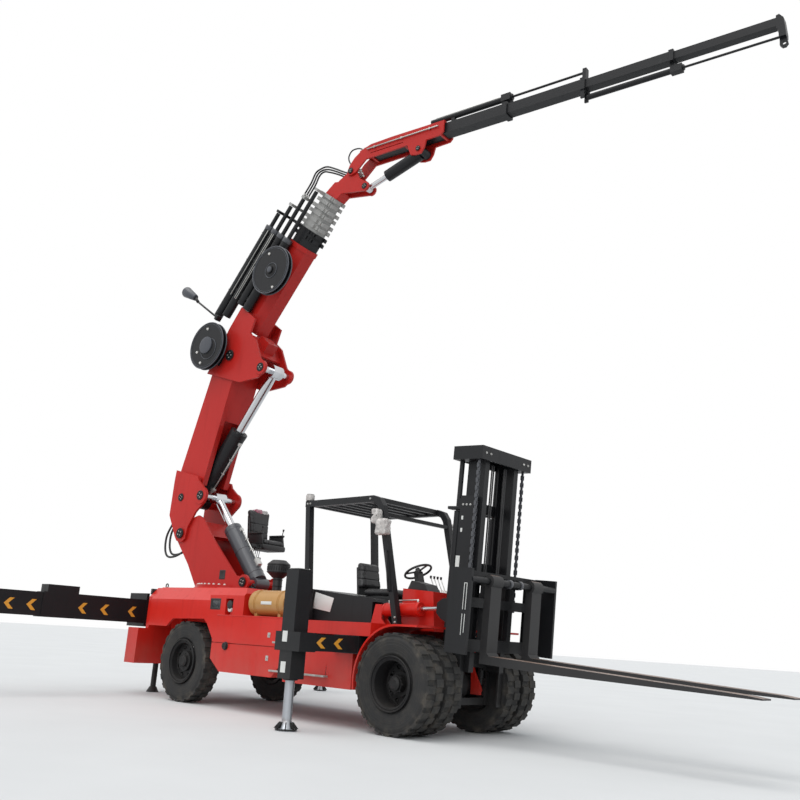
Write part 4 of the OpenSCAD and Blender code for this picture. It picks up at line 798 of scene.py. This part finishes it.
for y in CRANE_SEAT_ARMS:
    knobs += [bar("stalk", 0.008, (0.03, y, 2.87), (0.05, y, 2.95), 14, 0.001),
              bar("grip", 0.014, (0.047, y, 2.94), (0.055, y, 2.985), 18, 0.006, 0.019)]
fit_all("crane_joysticks", knobs, "column", "trim_black")

# Operator's place
sheet = plate("hood_sheet", (-2.105, -0.6145, 1.463), (-1.678, -0.61, 1.741), 0.0015)
pushed(sheet, lambda c: c.x < -1.9 and c.z > 1.6, (0.036, 0, 0))
pushed(sheet, lambda c: c.x > -1.9 and c.z > 1.6, (0, 0, -0.081))
pushed(sheet, lambda c: c.x > -1.9 and c.z < 1.56, (-0.06, 0, 0))
pushed(sheet, lambda c: c.x < -1.9 and c.z < 1.5, (0, 0, 0.048))
fit(sheet, "truck", "plate_white")
fit(plate("floor_mat", (-0.81, -0.45, 1.33), (-0.535, 0.45, 1.337)), "truck", "mat")
gauges, dials = [], []
for y, r in ((-0.325, 0.033), (-0.25, 0.026), (-0.18, 0.026)):
    way = Vector((-0.88, 0, 0.48))
    at = Vector((-0.452, y, 1.872))
    gauges.append(hoop("bezel", r, 0.005, at + way * 0.004, way, 36))
    dials.append(bar("dial", r, at, at + way * 0.006, 32, 0.001))
fit_all("gauge_bezels", gauges, "truck", "zinc")
fit_all("gauge_dials", dials, "truck", "plate_white")
levers, knobs = [], []
for i in range(4):
    foot = Vector((-0.4, 0.12 + 0.075 * i, 1.81))
    tip = foot + Vector((-0.1, 0, 0.2))
    levers += [bar("stick", 0.007, foot, tip, 12, 0.001),
               bar("boot", 0.028, foot - 0.02 * Z, foot + 0.04 * Z, 20, 0.004, 0.012)]
    knobs.append(bar("knob", 0.013, tip - 0.012 * Z, tip + 0.03 * Z, 18, 0.006, 0.018))
for y in (-0.2, 0.2):
    pedal = plate("pedal", (-0.6, y - 0.045, 1.42), (-0.585, y + 0.045, 1.53), 0.004)
    levers += [sunk(pushed(pedal, lambda c: c.z > 1.48, (0.035, 0, 0)), (-1, 0, 0), 0.006, 0.002),
               bar("arm", 0.01, (-0.585, y, 1.47), (-0.52, y, 1.5), 12, 0.002)]
fit_all("levers_and_pedals", levers, "truck", "zinc")
horn = bar("horn", 0.032, (-0.645, 0, 2.105), (-0.658, 0, 2.13), 28, 0.005)
fit_all("lever_knobs", [*knobs, horn], "truck", "trim_black")
grips = []
for y in (-0.78, 0.78):
    grips += [bar("grip", 0.014, (-0.47, y, 1.75), (-0.56, y, 2.3), 16, 0.004),
              bar("stay", 0.011, (-0.47, y, 1.76), (-0.47, y * 0.94, 1.76), 12, 0.002),
              bar("stay", 0.011, (-0.558, y, 2.29), (-0.6, y * 0.94, 2.29), 12, 0.002)]
fit_all("grab_bars", grips, "truck", "black_paint")
posts = [((x, side * 0.75, z), (0, side, 0)) for side in (1, -1) for x, z in (
    (-2.085, 1.36), (-2.085, 1.42), (-0.345, 1.36), (-0.352, 1.42), (-2.26, 3.03), (-2.2, 3.03), (-0.95, 3.03))]
bolts("guard_bolts", 0.014, posts, "truck")
beacon = bar("beacon_lens", 0.066, (-2.265, -0.705, 3.08), (-2.265, -0.705, 3.178), 40, 0.018)
fit(sunk(beacon, Z, 0.012, -0.002), "truck", "film_pale")
for side, s in SIDES:
    ring = hoop("lamp_rim_" + s, 0.076, 0.006, (-0.686, side * GUARD_LAMP_Y, GUARD_LAMP_Z), X, 44)
    glass = bar("lamp_glass_" + s, 0.07, (-0.687, side * GUARD_LAMP_Y, GUARD_LAMP_Z),
                (-0.679, side * GUARD_LAMP_Y, GUARD_LAMP_Z), 40, 0.003, 0.05)
    fit(glass, "truck", "lamp_clear")
    fit(ring, "truck", "trim_black")
    lamp_cluster(side, s)

# Pressure vessel and air cleaner
straps = [hoop("strap", 0.192, 0.006, (x, VESSEL_Y, VESSEL_Z), X, 64, 6) for x in (-2.92, -2.89, -2.39, -2.36)]
straps += [hoop("weld", 0.187, 0.007, (x, VESSEL_Y, VESSEL_Z), X, 64) for x in (-2.26, -3.01)]
fit_all("vessel_straps", straps, "truck", "vessel_ochre")
fit(plate("vessel_plate", (-2.74, -1.075, 1.52), (-2.5, -1.068, 1.565), 0.002), "truck", "plate_white")
valve = joined("vessel_valve", [
    bar("neck", 0.036, (-2.215, VESSEL_Y, VESSEL_Z), (-2.16, VESSEL_Y, VESSEL_Z), 28, 0.006),
    bar("nut", 0.03, (-2.165, VESSEL_Y, VESSEL_Z), (-2.13, VESSEL_Y, VESSEL_Z), 6),
    hoop("wheel", 0.035, 0.006, (-2.16, VESSEL_Y, 1.61), Z, 28),
    bar("stem", 0.008, (-2.16, VESSEL_Y, 1.56), (-2.16, VESSEL_Y, 1.615), 12, 0.001)])
fit(valve, "truck", "zinc")
bands = [hoop("band", r, 0.006, (CLEANER_X, CLEANER_Y, z), Z) for r, z in (
    (0.077, 1.84), (0.077, 1.94), (0.182, 2.06), (0.182, 2.17))]
slot = plate("slot", (-3.151, -0.306, 2.08), (-3.144, -0.294, 2.15), 0.001)
slots = repeated("slots", slot, round_post(CLEANER_X, CLEANER_Y, 28))
fit_all("cleaner_bands", [*bands, slots], "truck", "rim_black")

# Tilt cylinders
for side, s in SIDES:
    tilt = Matrix.Translation((AXLE - 0.76, side * 0.56, 1.52)) @ Matrix.Rotation(math.radians(-2.117), 4, "Y")
    head = joined("tilt_head_" + s, [bar("head", 0.091, (0.62, 0, 0), (0.698, 0, 0), 40, 0.006),
                                     hoop("wiper", 0.036, 0.008, (0.703, 0, 0), X, 32),
                                     hoop("weld", 0.087, 0.006, (0.09, 0, 0), X, 40)])
    fit(head, "tilt_barrel", "paint_red", tilt)
    ports = joined("tilt_ports_" + s, [bar("port", 0.018, (x, 0, 0.08), (x, 0, 0.125), 6, 0.002) for x in (0.13, 0.64)]
                   + [bar("line", 0.009, (0.13, 0, 0.118), (0.64, 0, 0.118), 12, 0.001)])
    fit(ports, "tilt_barrel", "zinc", tilt)


# Mast: lifting chains, hoses, bolts, plates, and pale strips of painted highlight on the carriage
def leaf_chain(name, y, z0, z1, pitch=0.05):
    outer = [plate("link", (-0.018, a, -0.006), (0.018, a + 0.006, pitch + 0.006), 0.004) for a in (-0.022, 0.016)]
    inner = plate("link", (-0.018, -0.008, pitch - 0.006), (0.018, 0.008, 2 * pitch + 0.006), 0.004)
    pins = [bar("pin", 0.009, (0, -0.025, z), (0, 0.025, z), 10, 0) for z in (0, pitch)]
    pattern = joined("pattern", [*outer, inner, *pins])
    steps = int((z1 - z0) / (2 * pitch))
    chain = repeated(name, pattern, [Matrix.Translation((0.338, y, z0 + 2 * pitch * i)) for i in range(steps)])
    return fit(chain, "inner_mast", "cylinder_grey")


for side, s in SIDES:
    leaf_chain("lift_chain_" + s, side * 0.5, 1.05, 2.95)
    lines = [bar("hose_run", 0.011, (0.3, side * y, 1.0), (0.3, side * y, 2.93), 14, 0) for y in (0.16, 0.12)]
    fit_all("mast_hose_" + s, lines, "inner_mast", "hose")
    flange = [((0.17 + 0.06 * j, side * 0.47, z), (0, side, 0)) for z in (-0.1, 1.0, 2.36) for j in (-1, 0, 1)]
    bolts("mast_bolts_" + s, 0.014, flange, "mast")
    blank = plate("mast_plate_" + s, (0.065, side * 0.4695, 1.53), (0.13, side * 0.474, 1.69), 0.002)
    fit(sunk(blank, (0, side, 0), 0.006, 0.001), "mast", "plate_white")
    tags = [plate("tag", (0.1, side * 0.4695, z), (0.13, side * 0.474, z + 0.05), 0.002) for z in (2.0, 2.16)]
    fit_all("mast_tags_" + s, tags, "mast", "plate_white")
    # Thin pale strips on the carriage's side plates are painted highlights along its edges.
    lines = [plate("line", (a, side * 0.949, b), (c, side * 0.9525, d), 0.001) for a, b, c, d in (
        (0.62, 1.02, 0.628, 1.33), (0.66, 1.02, 0.668, 1.33), (0.62, 1.33, 0.668, 1.338),
        (0.62, 0.72, 0.628, 0.97), (0.66, 0.75, 0.668, 0.97))]
    fit_all("carriage_lines_" + s, lines, "carriage", "plate_white")
    ring = [hoop("gland", 0.052, 0.008, (0.03, side * 0.4, 2.28), Z, 40),
            plate("bracket", (-0.16, side * 0.4 - 0.06, 2.3), (0.06, side * 0.4 + 0.06, 2.34), 0.006)]
    fit_all("ram_bracket_" + s, ring, "mast", "black_paint")
collars = [bar("collar", 0.056, (0.69, y - 0.022, 1.39), (0.69, y + 0.022, 1.39), 36, 0.006)
           for y in (-0.115, 0.115)]
fit_all("shaft_collars", collars, "carriage", "cylinder_grey")
bolts("crosshead_bolts", 0.016, [((0.43, y, 3.04), X) for y in (-0.48, -0.38, 0.38, 0.48)], "inner_mast")


# Crane: pin covers with their keeper screws
def pin_cover(name, at, half, radius, body):
    parts, screws = [], []
    for side in (1, -1):
        c = Vector((at[0], side * half, at[1]))
        out = Vector((0, side, 0))
        disc = bar("disc", radius, c - out * 0.002, c + out * 0.012, 44, 0.004)
        parts.append(sunk(disc, out, radius * 0.3, 0.004))
        parts.append(hoop("rim", radius * 0.98, radius * 0.05, c, out, 44, 8))
        screws += [(c + out * 0.009 + p, out) for p in spokes(4, radius * 0.45, math.radians(30))]
    fit_all(name, parts, body, "rim_black")
    bolts(name + "_screws", radius * 0.13, screws, body)


for cover in (
        ("luff_pin_cover", LUFF, 0.436, 0.09, "column"),
        ("lift_pin_cover", LIFT, 0.39, 0.078, "column"),
        ("lift_eye_cover", (0.756, -0.231), 0.43, 0.085, "main_boom"),
        ("knuckle_foot_cover", (0.602, 0.286), 0.417, 0.07, "main_boom"),
        ("elbow_pin_cover", (0, 0), 0.373, 0.1, "outer_boom"),
        ("knuckle_eye_cover", (0.237, -0.888), 0.367, 0.08, "outer_boom"),
        ("hinge_pin_cover", (0, 0), 0.163, 0.055, "jib"),
        ("jib_foot_cover", (1.5, 0.025), 0.163, 0.045, "jib"),
        ("jib_eye_cover", (3.915, -0.49), 0.12, 0.055, "section_4")):
    pin_cover(*cover)

frames, panes = [], []
for side in (1, -1):
    rim = plate("rim", (0.094, side * 0.34, 1.939), (0.251, side * 0.376, 2.106), 0.018, 4)
    frames.append(sunk(rim, (0, side, 0), 0.02, 0.012))
    panes.append(plate("pane", (0.112, side * 0.352, 1.957), (0.233, side * 0.361, 2.088), 0.01, 3))
fit_all("column_window_frames", frames, "column", "trim_black")
fit_all("column_window_glass", panes, "column", "glass")
bank = [plate("valve", (-0.2, 0.375, 2.2), (0.16, 0.5, 2.36), 0.008)]
for i in range(7):
    x = -0.17 + 0.05 * i
    mid = x + 0.018
    bank += [plate("slice", (x, 0.38, 2.355), (x + 0.036, 0.49, 2.4), 0.005),
             bar("stick", 0.006, (mid, 0.44, 2.39), (mid, 0.47, 2.57), 10, 0.001),
             bar("ball", 0.011, (mid, 0.468, 2.555), (mid, 0.472, 2.59), 14, 0.005, 0.015),
             bar("port", 0.014, (mid, 0.49, 2.26), (mid, 0.53, 2.26), 6, 0.002)]
fit_all("crane_valve_bank", bank, "column", "trim_black")


# Cylinders: gland, weld bands, port blocks and hard lines
def ram_trim(name, radius, rod, start, end, body, finish):
    rings = [bar("gland", radius * 1.03, (end - 0.09, 0, 0), (end - 0.002, 0, 0), 56, 0.006),
             hoop("wiper", rod * 1.12, rod * 0.14, (end + 0.002, 0, 0), X, 44),
             hoop("weld", radius, 0.006, (start + 0.03, 0, 0), X, 56),
             hoop("band", radius * 1.005, 0.005, ((start + end) / 2, 0, 0), X, 56)]
    fit_all(name + "_gland", rings, body, finish)
    block = plate("block", (start + 0.1, -0.045, -radius - 0.06), (start + 0.24, 0.045, -radius + 0.01), 0.006)
    port = plate("port", (end - 0.2, -0.03, -radius - 0.04), (end - 0.14, 0.03, -radius + 0.01), 0.005)
    line = bar("line", 0.012, (start + 0.22, 0, -radius - 0.028), (end - 0.15, 0, -radius - 0.028), 14, 0.001)
    clips = [plate("clip", (x, -0.024, -radius - 0.045), (x + 0.025, 0.024, -radius + 0.008), 0.004)
             for x in (start + (end - start) * k for k in (0.4, 0.62))]
    fit_all(name + "_lines", [block, port, line, *clips], body, "zinc")


ram_trim("lift_ram", 0.15, 0.085, 0.16, 1.25, "lift_barrel", "cylinder_grey")
ram_trim("knuckle_ram", 0.16, 0.09, 0.16, 1.53, "knuckle_barrel", "black_paint")


# Hose reels: flat grey covers with a black disc of painted shade set off their middle, a raised hub, the wound hose
# and pale caps
REEL_Y = -0.58


def reel(name, x, z, caps, shade_radius, shift, hub):
    at = Vector((x, REEL_Y, z))
    shade_centre = at + Vector((shift[0], 0, shift[1]))
    parts = [hoop("rim", 0.446, 0.012, at + k * Y, Y, 96, 8) for k in (0.006, 0.094)]
    parts += [hoop("bead", 0.415, 0.006, at, Y, 80, 6), hoop("edge", shade_radius, 0.007, shade_centre - 0.004 * Y, Y, 64, 8),
              sunk(bar("hub", hub, at + 0.002 * Y, at - 0.03 * Y, 56, 0.008), -Y, hub * 0.25, -0.006)]
    fit_all(name, parts, "outer_boom", "reel_grey")
    # The thin black disc is painted shade. It stands for the shade that falls in the recess between the flange and the
    # raised hub.
    shade_disc = bar(name + "_opening", shade_radius, shade_centre + 0.001 * Y, shade_centre - 0.003 * Y, 56, 0.001)
    fit(shade_disc, "outer_boom", "rim_black")
    turns = [hoop("turn", r, 0.011, at + k * Y, Y, 88, 8) for r in (0.335, 0.352) for k in (0.024, 0.048, 0.072)]
    fit_all(name + "_hose", turns, "outer_boom", "hose")
    bolts(name + "_caps", 0.024, [((a, REEL_Y - 0.002, b), -Y) for a, b in caps], "outer_boom", "white_bolt")


reel("reel_low", -0.11, 0.47, ((-0.34, 0.6), (0.14, 0.68), (-0.44, 0.36)), 0.2, (-0.02, -0.1), 0.165)
reel("reel_high", 1.762, -0.005, ((1.98, 0.24), (1.54, -0.31)), 0.14, (0.0, -0.03), 0.06)
stay = [bar("arm", 0.019, (0.421, -0.56, 0.655), (0.397, REEL_Y, 1.385), 20, 0.004),
        plate("foot", (0.37, -0.6, 0.6), (0.47, -0.48, 0.67), 0.008),
        bar("neck", 0.03, (0.397, REEL_Y, 1.37), (0.425, REEL_Y, 1.52), 24, 0.005)]
fit_all("boom_lamp_arm", stay, "outer_boom", "black_paint")
head = bar("boom_lamp", 0.06, (0.425, REEL_Y, 1.5), (0.385, REEL_Y, 1.86), 44, 0.02, 0.11)
sunk(head, (-0.1, 0, 1), 0.02, 0.02)
fit(head, "outer_boom", "reel_grey")

# Row of extension cylinders: clamps, gland nuts and their hard lines
clamps, nuts = [], []
for side in (1, -1):
    for z in (0.28, 0.49, 0.7, 0.91):
        if side > 0 and z < 0.4:
            continue
        for x in (0.95, 1.62, 2.2):
            clamps.append(hoop("clamp", 0.086, 0.008, (x, side * 0.35, z), X, 40, 8))
        nuts += [bar("gland", 0.09, (2.3, side * 0.35, z), (2.378, side * 0.35, z), 36, 0.006),
                 hoop("wiper", 0.044, 0.007, (2.382, side * 0.35, z), X, 32)]
fit_all("extension_clamps", clamps, "outer_boom", "rim_black")
fit_all("extension_glands", nuts, "outer_boom", "cylinder_grey")
lines = [bar("line", 0.009, (0.9, side * y, z), (2.3, side * y, z), 12, 0.001)
         for side in (1, -1) for y, z in ((0.445, 0.6), (0.445, 0.8), (0.45, 0.64))]
fit_all("extension_lines", lines, "outer_boom", "pipe")

# Jib: hard lines along the base and over the upper cylinder, with their clips, and a pale valve head
lines = [bar("line", 0.012, (0.35, y, 0.33), (1.9, y, 0.33), 12, 0.001) for y in (-0.172, 0.172)]
lines.append(bar("line", 0.01, (1.72, 0, 0.605), (2.95, 0, 0.605), 12, 0.001))
lines += [plate("clip", (x, y, 0.31), (x + 0.03, y * 0.83, 0.35))
          for x in (0.5, 1.1, 1.7) for y in (-0.18, 0.18)]
fit_all("jib_lines", lines, "jib", "pipe")
head = plate("jib_valve_head", (0.2, -0.11, 0.35), (0.34, 0.11, 0.435), 0.01, 3)
fit(sunk(head, Z, 0.02, 0.006), "jib", "plate_white")

# Hoses that hang free. Each follows a smooth line through points of its frame, read from the photo.
def smooth_line(points, steps=10):
    ends = [2 * points[0] - points[1], *points, 2 * points[-1] - points[-2]]
    line = []
    for a, b, c, d in zip(ends, ends[1:], ends[2:], ends[3:]):
        for i in range(steps):
            t = i / steps
            square, cube = 2 * a - 5 * b + 4 * c - d, 3 * b - a - 3 * c + d
            line.append((2 * b + (c - a) * t + square * t * t + cube * t ** 3) / 2)
    return [*line, points[-1]]


def hose(name, diameter, points, body):
    line = smooth_line([frame_of(body) @ Vector(p) for p in points])
    data = bpy.data.curves.new(name, "CURVE")
    data.dimensions = "3D"
    data.bevel_depth, data.bevel_resolution, data.use_fill_caps = diameter / 2, 4, True
    spline = data.splines.new("POLY")
    spline.points.add(len(line) - 1)
    for p, q in zip(spline.points, line):
        p.co = (*q, 1)
    o = bpy.data.objects.new(name, data)
    bpy.context.scene.collection.objects.link(o)
    dress(o, body, "hose")
    length = sum((b - a).length for a, b in zip(line, line[1:]))
    ends = []
    for a, b in ((line[0], line[2]), (line[-1], line[-3])):
        way = (b - a).normalized()
        ends += [bar("ferrule", diameter * 0.7, a - way * 0.03, a + way * 0.045, 20),
                 bar("nut", diameter * 0.85, a - way * 0.045, a - way * 0.01, 6)]
    dress(joined(name + "_ends", ends), body, "zinc")


HINGE_HOSE = ((3.185, 0.874), (3.459, 0.873), (3.658, 0.906), (3.765, 0.849), (3.871, 0.712), (3.915, 0.48),
              (3.943, 0.241), (3.971, 0.098), (4.051, -0.047), (4.104, -0.128))
for i, y in enumerate((-0.09, -0.05, -0.01)):
    hose(f"hinge_hose_{i}", 0.032, [(x - 0.03 * i * (z < 0.8), y, z - 0.02 * i) for x, z in HINGE_HOSE], "section_4")
for i, y in enumerate((-0.34, -0.27)):
    hose(f"column_hose_{i}", 0.038, [(x + 0.03 * i, y, z + 0.05 * i) for x, z in (
        (-1.332, 2.965), (-1.478, 2.717), (-1.476, 2.467), (-1.37, 2.34), (-1.15, 2.35), (-0.88, 2.46))], "column")
hose("jib_hose", 0.026, [(x, -0.08, z) for x, z in (
    (-0.03, 0.14), (-0.12, 0.24), (-0.155, 0.36), (-0.09, 0.465), (0.06, 0.47), (0.21, 0.4))], "jib")

# Light, floor and camera
scene = bpy.context.scene
scene.view_settings.view_transform = "Standard"


def lamp(name, turn, strength, angle, colour):
    data = bpy.data.lights.new(name, "SUN")
    data.energy, data.angle, data.color = strength, math.radians(angle), colour
    o = bpy.data.objects.new(name, data)
    o.rotation_euler = [math.radians(d) for d in turn]
    scene.collection.objects.link(o)


lamp("sky_light", (14, -10, 0), 1.5, 50, (1, 0.99, 0.97))
lamp("side_light", (58, 0, 28), 1.1, 45, (1, 1, 1))

unselected()
bpy.ops.mesh.primitive_plane_add(size=260, location=(0, 0, -0.002))
floor = added("floor")
ground = Paint("pale floor")
tone = ground.blend(ground.noise(0.5, 4), (0.6, 0.6, 0.595), (0.68, 0.68, 0.675))
floor.data.materials.append(ground.finish(tone, 0.85, ground.noise(60, 3), 0.002, 0.3))

world = bpy.data.worlds.new("overcast")
scene.world = world
world.use_nodes = True
tree = world.node_tree
tree.nodes.clear()
path = tree.nodes.new("ShaderNodeLightPath")
seen = tree.nodes.new("ShaderNodeMath")
seen.operation = "MAXIMUM"
tree.links.new(path.outputs["Is Camera Ray"], seen.inputs[0])
tree.links.new(path.outputs["Is Transmission Ray"], seen.inputs[1])
bare = tree.nodes.new("ShaderNodeMath")
bare.operation = "MAXIMUM"
tree.links.new(seen.outputs[0], bare.inputs[0])
tree.links.new(path.outputs["Is Glossy Ray"], bare.inputs[1])
light = tree.nodes.new("ShaderNodeBackground")
light.inputs["Color"].default_value = (0.86, 0.93, 1, 1)
light.inputs["Strength"].default_value = 0.62
white = tree.nodes.new("ShaderNodeBackground")
white.inputs["Strength"].default_value = 1
white.inputs["Color"].default_value = (1, 1, 1, 1)
mix = tree.nodes.new("ShaderNodeMixShader")
tree.links.new(bare.outputs[0], mix.inputs[0])
tree.links.new(light.outputs[0], mix.inputs[1])
tree.links.new(white.outputs[0], mix.inputs[2])
tree.links.new(mix.outputs[0], tree.nodes.new("ShaderNodeOutputWorld").inputs["Surface"])

# The camera is solved from the photo: its turns in radians, its place, and its focal length in photo pixels.
PHOTO_WIDTH, FOCAL_PIXELS, SENSOR = 800, 866.156, 36
yaw, pitch, roll = -0.749, 0.269, 0.062
look = Vector((math.sin(yaw) * math.cos(pitch), math.cos(yaw) * math.cos(pitch), math.sin(pitch)))
flat = Vector((math.cos(yaw), -math.sin(yaw), 0))
rise = flat.cross(look)
right = math.cos(roll) * flat + math.sin(roll) * rise
above = math.cos(roll) * rise - math.sin(roll) * flat
camera = bpy.data.objects.new("camera", bpy.data.cameras.new("camera"))
camera.data.lens, camera.data.sensor_width = FOCAL_PIXELS * SENSOR / PHOTO_WIDTH, SENSOR
camera.data.clip_start, camera.data.clip_end = 0.1, 400
camera.matrix_world = Matrix((
    (right.x, above.x, -look.x, 7.558 + AXLE),
    (right.y, above.y, -look.y, -9.416),
    (right.z, above.z, -look.z, 1.148),
    (0, 0, 0, 1)))
scene.collection.objects.link(camera)
scene.camera = camera
